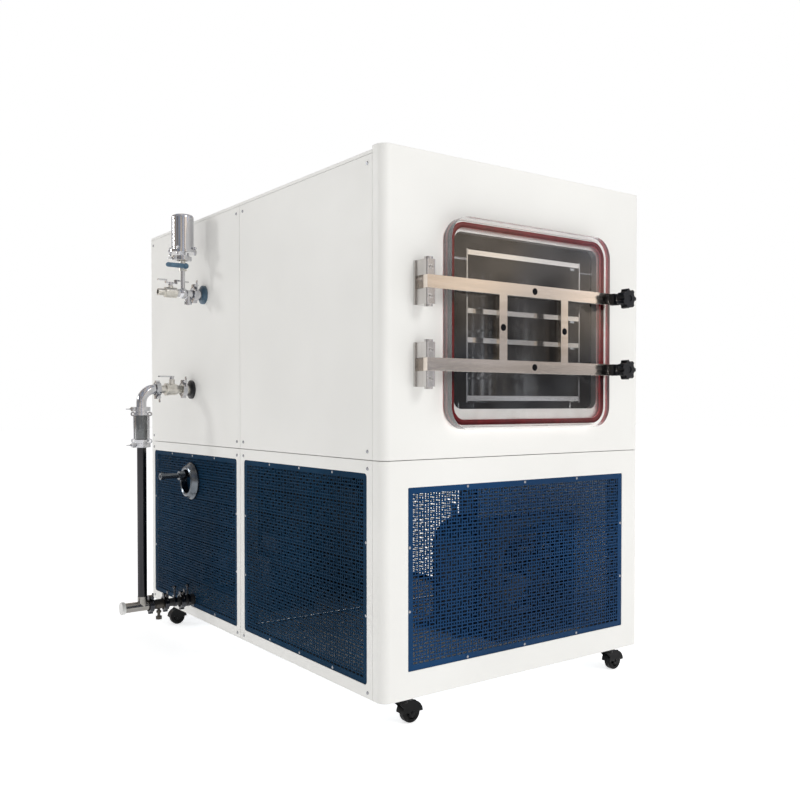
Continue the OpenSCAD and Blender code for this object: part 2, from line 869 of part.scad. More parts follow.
module vent_valve() {
    bore = stem_d / 2 + 2 * run_gap;
    color("#b5b7b9") difference() {
        union() {
            rod_z(valve_lo, valve_hi, vent_x, vent_y, 30);
            rod_z(valve_hi, clamp_vent_z + 8, vent_x, vent_y, 22);
            rod_z(clamp_vent_z + 4, clamp_vent_z + 8, vent_x, vent_y, ferrule_d);
            rod_y(lever_y, vent_y, vent_x, lever_z, 20);
        }
        rod_y(lever_y - 1, vent_y - 14, vent_x, lever_z, bore);
    }
}

// A lever that hangs on its own stem, drawn along -X from the stem
module lever_plate(len, w, hub) {
    circle(d = hub);
    translate([-len + w / 2, -w / 2]) square([len - w / 2, w]);
    translate([-len + w / 2, 0]) circle(d = w);
}

module vent_lever() {
    color("#2f5f86") {
        front_plate(lever_y - 7.5, 7) translate([vent_x, lever_z]) lever_plate(78, 17, 22);
        rod_y(lever_y - 0.5, vent_y - 15, vent_x, lever_z, stem_d / 2);
        rod_y(lever_y - 12, lever_y - 7.5, vent_x, lever_z, 14);
    }
}

air_x = vent_x - 50;
air_top = vent_z + 26;

module air_valve() {
    color("#c7c2b6") difference() {
        union() {
            rod_x(air_x - 26, vent_x - 24, vent_y, vent_z, 30);
            rod_x(air_x - 22, air_x + 22, vent_y, vent_z, 40);
            rod_x(air_x - 50, air_x - 26, vent_y, vent_z, 26);
            rod_z(vent_z, air_top, air_x, vent_y, 20);
        }
        rod_z(vent_z + 12, air_top + 1, air_x, vent_y, stem_d / 2 + 2 * run_gap);
        rod_x(air_x - 51, air_x - 28, vent_y, vent_z, 18);
    }
}

module air_lever() {
    t = 5;
    w = 12;
    z = air_top + 8.5;
    color("#c4c6c8") translate([air_x, vent_y, 0]) {
        rod_z(vent_z + 13, z, 0, 0, stem_d / 2);
        rod_z(air_top + 0.5, z, 0, 0, 16);
        translate([0, 0, z]) linear_extrude(t) {
            circle(d = 20);
            rotate(22) translate([0, -w / 2]) square([30, w]);
            rotate(180) translate([0, -w / 2]) square([20, w]);
        }
        translate([0, 0, z]) rotate(22) {
            translate([25, -w / 2, 0]) cube([t, w, 17]);
            translate([25, -w / 2, 12]) cube([66, w, t]);
        }
        translate([-20, -w / 2, z]) cube([t, w, 15]);
        translate([-50, -w / 2, z + 10]) cube([34, w, t]);
    }
}

module vent_filter() {
    bolt_r = filter_d / 2 + 8;
    color("#cfd0d2") translate([vent_x, vent_y, 0]) {
        rod_z(clamp_vent_z + 8, clamp_vent_z + 12, 0, 0, ferrule_d);
        rod_z(clamp_vent_z + 12, filter_z, 0, 0, 22);
        translate([0, 0, filter_z]) rotate_extrude() union() {
            square([filter_d / 2 + 12, 10]);
            translate([0, 10]) square([filter_d / 2, 125]);
            translate([0, 135]) square([filter_d / 2 - 12, 12]);
            translate([filter_d / 2 - 12, 135]) intersection() {
                circle(12);
                square(12);
            }
        }
        for (k = [0 : 3]) {
            rotate(45 + 90 * k) {
                rod_z(filter_z - 10, filter_z + 17, bolt_r, 0, 8);
                translate([bolt_r, 0, filter_z + 18]) sphere(d = 12);
            }
        }
    }
}

// A two-part pipe clamp around the Z axis with its wing nut towards +X
module pipe_clamp(d, w) {
    ear = d / 2 + 5;
    difference() {
        union() {
            cylinder(d = d + 10, h = w, center = true);
            translate([ear - 4, -9, -w / 2]) cube([14, 18, w]);
            translate([-ear - 6, -6, -w / 2]) cube([10, 12, w]);
        }
        cylinder(d = d + 2 * run_gap, h = w + 2, center = true);
        translate([0, -1, -w]) cube([d, 2, 2 * w]);
    }
    translate([ear + 4, 0, 0]) rotate([90, 0, 0]) cylinder(d = 7, h = 30, center = true);
    translate([ear + 4, -15, 0]) rotate([90, 0, 0]) wing_nut();
}

// A wing nut standing on the XY plane
module wing_nut() {
    cylinder(d = 13, h = 9);
    translate([0, 1.5, 4]) rotate([90, 0, 0]) linear_extrude(3) {
        for (s = [-1, 1]) {
            translate([s * 13, 6]) circle(7);
            translate([s * 7 - 7, 0]) square([14, 6]);
        }
    }
}

// Ends of the low valve and the outer end of the wall tail
low_x0 = drain_x + 36;
low_x1 = low_x0 + 60;
tail_x = -44;
// Outer diameter of the drain hose and what its end cuff adds
hose_d = 32;
hose_cuff = 12;

// A hose clip around the low run, with a ball-headed tightening screw that stands up
module hose_clip(x, d) {
    w = 10;
    reach = 58;
    difference() {
        union() {
            rod_x(x, x + w, drain_y, low_z, d + 6);
            rod_z(low_z, low_z + reach, x + w / 2, drain_y, 7);
            translate([x + w / 2, drain_y, low_z + reach]) sphere(d = 14);
        }
        rod_x(x - 1, x + w + 1, drain_y, low_z, d + 2 * run_gap);
    }
}

// The ferrule clamps of both pipe groups and the two hose clips
module pipe_clamps() {
    f = ferrule_d;
    low_clamps = [drain_x + 32, low_x1 - 4, tail_x - 4];
    color("#bfc1c3") {
        hose_clip(low_x1 + 31, hose_d);
        hose_clip(tail_x + 16, hose_d + hose_cuff);
        translate([clamp1_x, vent_y, vent_z]) rotate([0, -90, 0]) pipe_clamp(f, clamp_w);
        translate([vent_x, vent_y, clamp_vent_z + 8]) rotate([0, 0, 180]) pipe_clamp(f, clamp_w);
        translate([-36, drain_y, drain_z]) rotate([0, -90, 0]) pipe_clamp(f, clamp_w);
        translate([drain_x + 64, drain_y, drain_z]) rotate([0, 90, 0]) pipe_clamp(f, clamp_w);
        translate([drain_x, drain_y, sight_top + 14]) rotate([0, 0, 180]) pipe_clamp(f, clamp_w);
        translate([drain_x, drain_y, sight_bot - 12]) rotate([0, 0, 180]) pipe_clamp(f, clamp_w);
        for (x = low_clamps) {
            translate([x, drain_y, low_z]) rotate([0, -90, 0]) pipe_clamp(f, clamp_w);
        }
    }
}

valve_x = -85;

// A short valve body in the low run, with a drain cock below it
module low_valve() {
    cock_x = low_x0 + 30;
    rod_x(low_x0, low_x0 + 14, drain_y, low_z, 30);
    rod_x(low_x0 + 14, low_x0 + 46, drain_y, low_z, 38);
    rod_x(low_x0 + 46, low_x1 - 8, drain_y, low_z, 30);
    rod_x(low_x1 - 8, low_x1, drain_y, low_z, ferrule_d);
    rod_z(low_z - 48, low_z, cock_x, drain_y, 12);
    rod_z(low_z - 34, low_z - 26, cock_x, drain_y, 20);
    rod_z(low_z - 60, low_z - 48, cock_x, drain_y, 24);
}

// The lever valve at the top of the drain and the valve in its low run
module drain_valves() {
    color("#6d6a66") low_valve();
    color("#bdbab2") difference() {
        union() {
            rod_x(-32, pan_d - 2, drain_y, drain_z, drain_tail_d);
            rod_x(-40, -32, drain_y, drain_z, ferrule_d);
            rod_x(-50, -40, drain_y, drain_z, 28);
            translate([-72, drain_y, drain_z]) rotate([0, 90, 0]) cylinder(d1 = 46, d2 = 28, h = 22);
            rod_x(-104, -72, drain_y, drain_z, 46);
            rod_x(-112, -104, drain_y, drain_z, 50);
            rod_x(drain_x + 68, -112, drain_y, drain_z, 32);
            rod_x(drain_x + 64, drain_x + 68, drain_y, drain_z, ferrule_d);
            rod_z(drain_z, drain_z + 40, valve_x, drain_y, 22);
        }
        rod_z(drain_z + 20, drain_z + 41, valve_x, drain_y, 10 + 2 * run_gap);
    }
}

module drain_lever() {
    z = drain_z + 40.5;
    color("#c4c6c8") {
        rod_z(drain_z + 21, z, valve_x, drain_y, 10);
        rod_z(z, z + 8, valve_x, drain_y, 16);
        translate([valve_x, drain_y, z + 8]) linear_extrude(5) lever_plate(56, 14, 20);
    }
}

// A pipe wall around an axis, drawn as an outline for turning
module pipe_ring(d) {
    difference() {
        circle(d = d);
        circle(d = d - 2 * pipe_wall);
    }
}

bend_r = 54;

module drain_elbow() {
    top_x0 = drain_x + bend_r;
    bore = pipe_d - 2 * pipe_wall;
    color("#c2c4c6") {
        difference() {
            union() {
                rod_x(drain_x + 60, drain_x + 64, drain_y, drain_z, ferrule_d);
                rod_x(top_x0, drain_x + 60, drain_y, drain_z, pipe_d);
            }
            rod_x(top_x0 - 1, drain_x + 65, drain_y, drain_z, bore);
        }
        translate([top_x0, drain_y, drain_z - bend_r]) rotate([90, 0, 0])
            rotate([0, 0, 90]) rotate_extrude(angle = 90) translate([bend_r, 0]) pipe_ring(pipe_d);
        difference() {
            union() {
                rod_z(sight_top + 14, drain_z - bend_r, drain_x, drain_y, pipe_d);
                rod_z(sight_top + 14, sight_top + 18, drain_x, drain_y, ferrule_d);
            }
            rod_z(sight_top + 13, drain_z, drain_x, drain_y, bore);
        }
    }
}

module drain_pipe() {
    color("#4c4d50") difference() {
        union() {
            rod_z(low_z + pipe_d / 2 + 20, sight_bot - 12, drain_x, drain_y, pipe_d - 2);
            rod_z(sight_bot - 16, sight_bot - 12, drain_x, drain_y, ferrule_d);
        }
        rod_z(low_z, sight_bot - 11, drain_x, drain_y, pipe_d - 2 - 2 * pipe_wall);
    }
}

sight_glass_d = 50;
sight_seat = 4.5;

module sight_glass_frame() {
    rod_r = 31;
    eye_r = 34.5;
    t = sight_flange_t;
    ends = [[sight_top - t, sight_top, sight_top + 14], [sight_bot, sight_bot - 12, sight_bot]];
    color("#b9bbbd") translate([drain_x, drain_y, 0]) {
        for (e = ends) {
            difference() {
                union() {
                    rod_z(e[0], e[0] + t, 0, 0, sight_glass_d + 10);
                    rod_z(e[1], e[2], 0, 0, ferrule_d);
                }
                rod_z(sight_bot - 13, sight_top + 15, 0, 0, 30);
                rod_z(sight_bot + t - sight_seat, sight_top - t + sight_seat, 0, 0,
                    sight_glass_d + 2 * run_gap);
            }
            for (k = [-45, 135]) {
                rotate(k) translate([eye_r, 0, e[0] + t / 2]) rotate([90, 0, 0]) difference() {
                    cylinder(d = 18, h = 6, center = true);
                    cylinder(d = 9, h = 8, center = true);
                }
            }
        }
        for (k = [-45, 135]) {
            rotate(k) rod_z(sight_bot + t - 1, sight_top - t + 1, rod_r, 0, 6);
        }
    }
}

module sight_glass_tube() {
    d = sight_glass_d;
    seat = sight_flange_t - sight_seat;
    color("#cfe0e4", 0.5) difference() {
        rod_z(sight_bot + seat, sight_top - seat, drain_x, drain_y, d);
        rod_z(sight_bot, sight_top, drain_x, drain_y, d - 8);
    }
}

cap_t = 13;

module drain_tee() {
    x0 = x_lo + cap_t;
    color("#c2c4c6") difference() {
        union() {
            rod_x(x0, drain_x + 28, drain_y, low_z, pipe_d);
            rod_x(drain_x + 28, low_x0, drain_y, low_z, ferrule_d);
            rod_z(low_z, low_z + pipe_d / 2 + 20, drain_x, drain_y, pipe_d);
        }
        rod_x(x0 - 1, low_x0 + 1, drain_y, low_z, pipe_d - 8);
        rod_z(low_z, low_z + pipe_d, drain_x, drain_y, pipe_d - 8);
    }
}

module end_cap() {
    color("#e8e8e6") {
        rod_x(x_lo, x_lo + cap_t, drain_y, low_z, 49);
    }
}

module drain_hose() {
    color("#1c1d20") {
        rod_x(low_x1, tail_x - 8, drain_y, low_z, hose_d);
        rod_x(tail_x - 8, tail_x, drain_y, low_z, ferrule_d);
        rod_x(tail_x, sheet_t, drain_y, low_z, hose_d + hose_cuff);
    }
}

module vacuum_port() {
    y = drain_y + 10;
    reach = 26;
    bore_r = port_d / 2 - 27;
    tube_z = port_z + 24;
    tube_x = -131;
    color("#c6c7c9") {
        translate([sheet_t, y, port_z]) rotate([0, -90, 0]) rotate_extrude()
            polygon([[bore_r, 0], [port_d / 2, 0], [port_d / 2, 7], [port_d / 2 - 8, 15],
                [port_d / 2 - 14, reach], [bore_r + 6, reach + 3], [bore_r, reach]]);
        difference() {
            union() {
                rod_x(tube_x, tube_x + 12, y, tube_z, 28);
                rod_x(tube_x, sheet_t, y, tube_z, 20);
                rod_x(-54, -32, y, tube_z, 36);
            }
            rod_x(tube_x - 1, tube_x + 30, y, tube_z, 14);
        }
    }
}

module caster_plates() {
    size = 70;
    color("#2a2b2e") for (c = casters) {
        translate([c[0], c[1], 0]) difference() {
            union() {
                translate([-size / 2, -size / 2, -caster_plate_t]) cube([size, size, caster_plate_t]);
                translate([0, 0, -caster_plate_t - caster_boss_h]) cylinder(d = 46, h = caster_boss_h);
            }
            translate([0, 0, -caster_plate_t - caster_boss_h - 1])
                cylinder(d = kingpin_d + 2 * run_gap, h = caster_plate_t + caster_boss_h);
        }
    }
}

// A hooded caster fork with its kingpin and axle, for casters[k]
module caster_fork(k) {
    half = wheel_w / 2 + cheek_gap;
    hood_r = wheel_d / 2 + 6;
    color("#1a1b1d") translate([casters[k][0], casters[k][1], 0]) rotate(casters[k][2]) {
        rod_z(fork_top - 12, fork_top, 0, 0, 44);
        rod_z(fork_top, fork_top + caster_plate_t + caster_boss_h - 1, 0, 0, kingpin_d);
        difference() {
            union() {
                front_plate(-half - cheek_t, 2 * (half + cheek_t)) translate([caster_trail, axle_z]) {
                    difference() {
                        circle(hood_r);
                        translate([-2 * hood_r, -2 * hood_r]) square([4 * hood_r, 2 * hood_r + 2]);
                    }
                }
                for (s = [-1, 1]) {
                    front_plate(s > 0 ? half : -half - cheek_t, cheek_t) {
                        translate([caster_trail, axle_z]) circle(14);
                        polygon([[-14, fork_top - 6], [-14, fork_top - 14], [caster_trail - 14, axle_z],
                            [caster_trail + 14, axle_z], [caster_trail + 24, axle_z + 20],
                            [caster_trail + 10, fork_top - 8]]);
                    }
                }
                translate([-14, -half - cheek_t, fork_top - 14]) cube([28, 2 * (half + cheek_t), 12]);
            }
            rod_y(-half, half, caster_trail, axle_z, wheel_d + 5);
        }
        rod_y(-half - cheek_t - 2, half + cheek_t + 2, caster_trail, axle_z, axle_d);
    }
}

// The wheel of casters[k]: a rounded tread and a dished hub
module caster_wheel(k) {
    r = wheel_d / 2;
    w = wheel_w / 2;
    edge = 4;
    hub = axle_d / 2 + run_gap;
    color("#111214") translate([casters[k][0], casters[k][1], 0]) rotate(casters[k][2])
        translate([caster_trail, 0, axle_z]) rotate([90, 0, 0]) rotate_extrude() {
            translate([hub, -w]) square([8, 2 * w]);
            translate([hub, -w + 5]) square([r - 10 - hub, 2 * w - 10]);
            translate([r - 11, -w]) square([11 - edge, 2 * w]);
            translate([r - 11, -w + edge]) square([11, 2 * w - 2 * edge]);
            for (s = [-1, 1]) {
                translate([r - edge, s * (w - edge)]) circle(edge);
            }
        }
}

place() frame_posts();
place() frame_side_rails();
place() frame_cross_rails();
place() inner_sheets();
place() lower_front_cover();
place() upper_front_cover();
place() front_grille();
place() side_grilles();
place() lower_side_panels();
place() blank_panels();
place() panel_screws();
place() chamber();
place() door_gasket();
place() door_panel();
place() door_frame();
place() door_bolts();
place() hinge_brackets();
place() hinge_pins();
place() clamp_blocks();
place() thrust_washer(bar_z1);  // upper_thrust_washer
place() thrust_washer(bar_z0);  // lower_thrust_washer
place() star_knob(bar_z1);  // upper_star_knob
place() star_knob(bar_z0);  // lower_star_knob
place() clamp_bosses();
place() shelves();
place() shelf_rack();
place() oil_manifold();
place() compressor();
place() condenser();
place() condenser_fan();
place() cold_trap();
place() vacuum_pump();
place() electrical_box();
place() pipe_seals();
place() vent_fitting();
place() vent_valve();
place() vent_lever();
place() air_valve();
place() air_lever();
place() vent_filter();
place() pipe_clamps();
place() drain_valves();
place() drain_lever();
place() drain_elbow();
place() drain_pipe();
place() sight_glass_frame();
place() sight_glass_tube();
place() drain_tee();
place() end_cap();
place() drain_hose();
place() vacuum_port();
place() caster_plates();
place() caster_fork(0);  // front_left_fork
place() caster_fork(1);  // front_right_fork
place() caster_fork(2);  // rear_left_fork
place() caster_fork(3);  // rear_right_fork
place() caster_wheel(0);  // front_left_wheel
place() caster_wheel(1);  // front_right_wheel
place() caster_wheel(2);  // rear_left_wheel
place() caster_wheel(3);  // rear_right_wheel
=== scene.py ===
import math
import bmesh
import bpy
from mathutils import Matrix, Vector


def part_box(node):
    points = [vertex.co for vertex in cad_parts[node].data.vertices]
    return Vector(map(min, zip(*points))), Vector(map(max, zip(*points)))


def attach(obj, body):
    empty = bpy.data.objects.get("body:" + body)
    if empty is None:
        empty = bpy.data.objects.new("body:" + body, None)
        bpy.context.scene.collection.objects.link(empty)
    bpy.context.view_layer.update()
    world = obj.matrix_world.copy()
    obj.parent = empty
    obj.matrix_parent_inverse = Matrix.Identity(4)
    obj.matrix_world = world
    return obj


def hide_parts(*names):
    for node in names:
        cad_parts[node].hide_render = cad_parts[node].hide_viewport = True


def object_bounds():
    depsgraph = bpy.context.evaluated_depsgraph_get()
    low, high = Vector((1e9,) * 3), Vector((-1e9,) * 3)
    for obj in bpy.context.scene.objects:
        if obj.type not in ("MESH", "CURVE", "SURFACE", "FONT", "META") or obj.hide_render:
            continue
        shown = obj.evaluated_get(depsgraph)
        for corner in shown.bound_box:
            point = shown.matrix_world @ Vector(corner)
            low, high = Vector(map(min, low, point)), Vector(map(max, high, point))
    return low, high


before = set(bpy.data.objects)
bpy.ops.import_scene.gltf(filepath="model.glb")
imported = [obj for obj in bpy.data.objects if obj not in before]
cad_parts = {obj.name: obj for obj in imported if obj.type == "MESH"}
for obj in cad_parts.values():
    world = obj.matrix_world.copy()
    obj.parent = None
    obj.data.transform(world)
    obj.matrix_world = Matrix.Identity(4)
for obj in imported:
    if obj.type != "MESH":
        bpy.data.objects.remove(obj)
cadLow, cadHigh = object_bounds()
print("frame loaded")

mm = 0.001


# colours, nodes and patterns

noiseSpan = {"From Min": 0.3, "From Max": 0.7}  # where most of a noise's values lie


def srgb(hexText, alpha=1.0):
    parts = [int(hexText[i:i + 2], 16) / 255 for i in (1, 3, 5)]
    linear = [c / 12.92 if c <= 0.04045 else ((c + 0.055) / 1.055) ** 2.4 for c in parts]
    return (*linear, alpha)


def addNode(tree, kind, inputs=None, **settings):
    # inputs go by name or place, each a socket to link or a fixed value
    node = tree.nodes.new(kind)
    for name, value in settings.items():
        setattr(node, name, value)
    for name, value in (inputs or {}).items():
        if isinstance(value, bpy.types.NodeSocket):
            tree.links.new(value, node.inputs[name])
        else:
            node.inputs[name].default_value = value
    return node


def newMaterial(name, surface):
    material = bpy.data.materials.new(name)
    material.use_nodes = True
    tree = material.node_tree
    shader = tree.nodes["Principled BSDF"]
    for key, value in surface.items():
        shader.inputs[key].default_value = value
    return material, tree, shader


def objectPoint(tree, grain=(1, 1, 1)):
    # the piece's own coordinates, squeezed along the axes where a pattern is drawn out
    spot = addNode(tree, "ShaderNodeTexCoord")
    point = addNode(tree, "ShaderNodeMapping", {"Vector": spot.outputs["Object"], "Scale": grain})
    return point.outputs["Vector"]


def within(tree, limits):
    # 1 where the piece's own coordinates lie between the two levels given for each axis, otherwise 0
    spot = addNode(tree, "ShaderNodeTexCoord")
    parts = addNode(tree, "ShaderNodeSeparateXYZ", {"Vector": spot.outputs["Object"]})
    mask = 1.0
    for axis, levels in limits.items():
        for level, test in zip(levels, ("GREATER_THAN", "LESS_THAN")):
            side = addNode(tree, "ShaderNodeMath", {0: parts.outputs[axis], 1: level}, operation=test)
            both = addNode(tree, "ShaderNodeMath", {0: side.outputs[0], 1: mask}, operation="MULTIPLY")
            mask = both.outputs[0]
    return mask


def blotched(tree, point, size, light, dark, otherTone=None, where=None):
    # two tones in blotches of one size, and a further colour over the stretch that where limits along each
    # axis, which on most nodes is painted shade
    cloud = addNode(tree, "ShaderNodeTexNoise", {"Vector": point, "Scale": 1 / size})
    blend = addNode(tree, "ShaderNodeMapRange", {"Value": cloud.outputs["Fac"], **noiseSpan})
    tone = addNode(tree, "ShaderNodeMix", {
        "Factor": blend.outputs["Result"], "A": srgb(light), "B": srgb(dark)}, data_type="RGBA")
    if otherTone:
        mask = within(tree, where)
        tone = addNode(tree, "ShaderNodeMix", {
            "Factor": mask, "A": tone.outputs["Result"], "B": srgb(otherTone)}, data_type="RGBA")
    return tone.outputs["Result"]


def bumped(tree, shader, height, depth, strength, edge=0.0):
    # depth is the real height of the relief, edge the radius of a softened corner
    bump = addNode(tree, "ShaderNodeBump", {"Height": height, "Strength": strength, "Distance": depth})
    if edge:
        corner = addNode(tree, "ShaderNodeBevel", {"Radius": edge}, samples=3)
        tree.links.new(corner.outputs["Normal"], bump.inputs["Normal"])
    tree.links.new(bump.outputs["Normal"], shader.inputs["Normal"])


def textured(tree, shader, point, size, detail, sheen, depth, strength, edge):
    # a fine pattern that moves the roughness between the two values of sheen and stands out by depth
    fine = addNode(tree, "ShaderNodeTexNoise", {
        "Vector": point, "Scale": 1 / size, "Detail": detail, "Roughness": 0.6}).outputs["Fac"]
    dull = addNode(tree, "ShaderNodeMapRange", {
        "Value": fine, **noiseSpan, "To Min": sheen[0], "To Max": sheen[1]})
    tree.links.new(dull.outputs["Result"], shader.inputs["Roughness"])
    bumped(tree, shader, fine, depth, strength, edge)


# materials, each named for its real finish, and for the painted shade or painted reflection that some carry

def makePowderCoat(name, light, dark, rough, gloss=0.5, **other):
    # polyester powder coat on folded steel: matt-gloss with a fine orange peel, 2.5 mm across
    material, tree, shader = newMaterial(name, {"Roughness": rough, "Specular IOR Level": gloss})
    point = objectPoint(tree)
    tree.links.new(blotched(tree, point, 350 * mm, light, dark, **other), shader.inputs["Base Color"])
    wear = addNode(tree, "ShaderNodeTexNoise", {"Vector": point, "Scale": 1 / (50 * mm)})
    dull = addNode(tree, "ShaderNodeMapRange", {
        "Value": wear.outputs["Fac"], **noiseSpan, "To Min": rough - 0.05, "To Max": rough + 0.06})
    tree.links.new(dull.outputs["Result"], shader.inputs["Roughness"])
    peel = addNode(tree, "ShaderNodeTexNoise", {"Vector": point, "Scale": 1 / (2.5 * mm), "Detail": 1.0})
    bumped(tree, shader, peel.outputs["Fac"], 0.03 * mm, 0.5, 1.2 * mm)
    return material


def makePolishedSteel(name, light, dark, rough, grain, edge=0.8 * mm, drawn=0.2, **other):
    # stainless steel polished along its length: bright, with faint drawn lines, which are about
    # 0.1 mm apart on the real one and are drawn 1.2 mm wide so that they show
    material, tree, shader = newMaterial(name, {"Metallic": 1.0})
    point = objectPoint(tree, grain)
    tree.links.new(blotched(tree, point, 20 * mm, light, dark, **other), shader.inputs["Base Color"])
    textured(tree, shader, point, 1.2 * mm, 3.0, (rough - 0.02, rough + 0.05), 0.01 * mm, drawn, edge)
    return material


def makeCastSteel(name, light, dark, rough, **other):
    # investment-cast stainless steel, shot blasted: dull and slightly pitted, with pits drawn
    # 1.1 mm wide, about three times the real grit, so that they show
    material, tree, shader = newMaterial(name, {"Metallic": 1.0})
    point = objectPoint(tree)
    tree.links.new(blotched(tree, point, 12 * mm, light, dark, **other), shader.inputs["Base Color"])
    textured(tree, shader, point, 1.1 * mm, 4.0, (rough - 0.06, rough + 0.1), 0.06 * mm, 0.5, 0.8 * mm)
    return material


def makeMoulded(name, light, dark, rough, grit=0.8 * mm, relief=0.03 * mm, shine=0.5, **other):
    # moulded plastic or rubber: an even tone with the grain of the mould, which is drawn
    # several times as coarse as the real one so that it shows
    material, tree, shader = newMaterial(name, {"Specular IOR Level": shine})
    point = objectPoint(tree)
    tree.links.new(blotched(tree, point, 25 * mm, light, dark, **other), shader.inputs["Base Color"])
    textured(tree, shader, point, grit, 3.0, (rough - 0.05, rough + 0.08), relief, 0.5, 1.0 * mm)
    return material


def makeClear(name, tint, light, ior, haze, edgeHaze=0.0):
    # cast acrylic or glass, polished: clear, with the faintest waviness, and it lets lamp light through;
    # edgeHaze is the milky satin of sawn edges, which face sideways
    material, tree, shader = newMaterial(name, {"IOR": ior, "Transmission Weight": 1.0})
    wave = addNode(tree, "ShaderNodeTexNoise", {
        "Vector": objectPoint(tree), "Scale": 1 / (120 * mm), "Detail": 1.0}).outputs["Fac"]
    blend = addNode(tree, "ShaderNodeMapRange", {"Value": wave, **noiseSpan})
    tone = addNode(tree, "ShaderNodeMix", {
        "Factor": blend.outputs["Result"], "A": srgb(tint), "B": srgb(light)}, data_type="RGBA")
    tree.links.new(tone.outputs["Result"], shader.inputs["Base Color"])

    normal = addNode(tree, "ShaderNodeTexCoord").outputs["Normal"]
    facing = addNode(tree, "ShaderNodeSeparateXYZ", {"Vector": normal})
    flat = addNode(tree, "ShaderNodeMath", {0: facing.outputs["Y"]}, operation="ABSOLUTE")
    sawn = addNode(tree, "ShaderNodeMapRange", {
        "Value": flat.outputs[0], "From Min": 0.4, "From Max": 0.8, "To Min": edgeHaze, "To Max": 0.0})
    polish = addNode(tree, "ShaderNodeMapRange", {"Value": wave, **noiseSpan, "To Max": haze})
    dull = addNode(tree, "ShaderNodeMath", {
        0: polish.outputs["Result"], 1: sawn.outputs["Result"]}, operation="ADD")
    tree.links.new(dull.outputs[0], shader.inputs["Roughness"])
    clear = addNode(tree, "ShaderNodeMapRange", {
        "Value": sawn.outputs["Result"], "From Max": 0.4, "To Min": 1.0, "To Max": 0.3})
    tree.links.new(clear.outputs["Result"], shader.inputs["Transmission Weight"])
    bumped(tree, shader, wave, 0.05 * mm, 0.15)

    path = addNode(tree, "ShaderNodeLightPath")
    through = addNode(tree, "ShaderNodeBsdfTransparent", {"Color": srgb(light)})
    pick = addNode(tree, "ShaderNodeMixShader", {
        0: path.outputs["Is Shadow Ray"], 1: shader.outputs[0], 2: through.outputs[0]})
    tree.links.new(pick.outputs[0], tree.nodes["Material Output"].inputs["Surface"])
    return material


def makeChamberSteel(name, inside, flange, where):
    # mirror-polished chamber walls, and a bright ground flange in the stretch that where limits
    material, tree, shader = newMaterial(name, {"Metallic": 1.0})
    point = objectPoint(tree)
    ahead = within(tree, where)
    walls = blotched(tree, point, 60 * mm, *inside)
    ground = blotched(tree, point, 60 * mm, *flange)
    tone = addNode(tree, "ShaderNodeMix", {"Factor": ahead, "A": walls, "B": ground}, data_type="RGBA")
    tree.links.new(tone.outputs["Result"], shader.inputs["Base Color"])
    dull = addNode(tree, "ShaderNodeMapRange", {"Value": ahead, "To Min": 0.05, "To Max": 0.42})
    tree.links.new(dull.outputs["Result"], shader.inputs["Roughness"])
    ripple = addNode(tree, "ShaderNodeTexNoise", {"Vector": point, "Scale": 1 / (45 * mm), "Detail": 1.0})
    bumped(tree, shader, ripple.outputs["Fac"], 0.25 * mm, 0.3)
    return material


# how far a polish is drawn out along each axis: a small number gives long lines
barGrain = (0.05, 1, 1)
levelGrain = (0.06, 1, 1)
uprightGrain = (1, 1, 0.06)
evenGrain = (1, 1, 1)

# stretches of a node that get another colour or a finish of their own; the dark colour of the shaded
# stretches is painted shade
stretches = {
    # painted shade on the low pieces near the floor
    "shadedDrainRun": {"Z": (cadLow.z, cadLow.z + 400 * mm)},
    "lowSeal": {"Z": (cadLow.z, cadLow.z + 1200 * mm)},
    "flange": {"Y": (cadLow.y, cadLow.y + 143 * mm)},
    # painted shade on the baffle at the far end of the deck
    "shadedBaffle": {"X": (cadHigh.x - 63 * mm, cadHigh.x)},
    # painted shade on the inner faces of the blank panels, low in the machine bay
    "shadedBackInside": {"Y": (cadLow.y, cadHigh.y - 0.7 * mm), "Z": (cadLow.z, cadLow.z + 750 * mm)},
}
valveTones = ("#dedcd4", "#c4c2ba")
whiteTones = ("#f2f1ed", "#edece8")

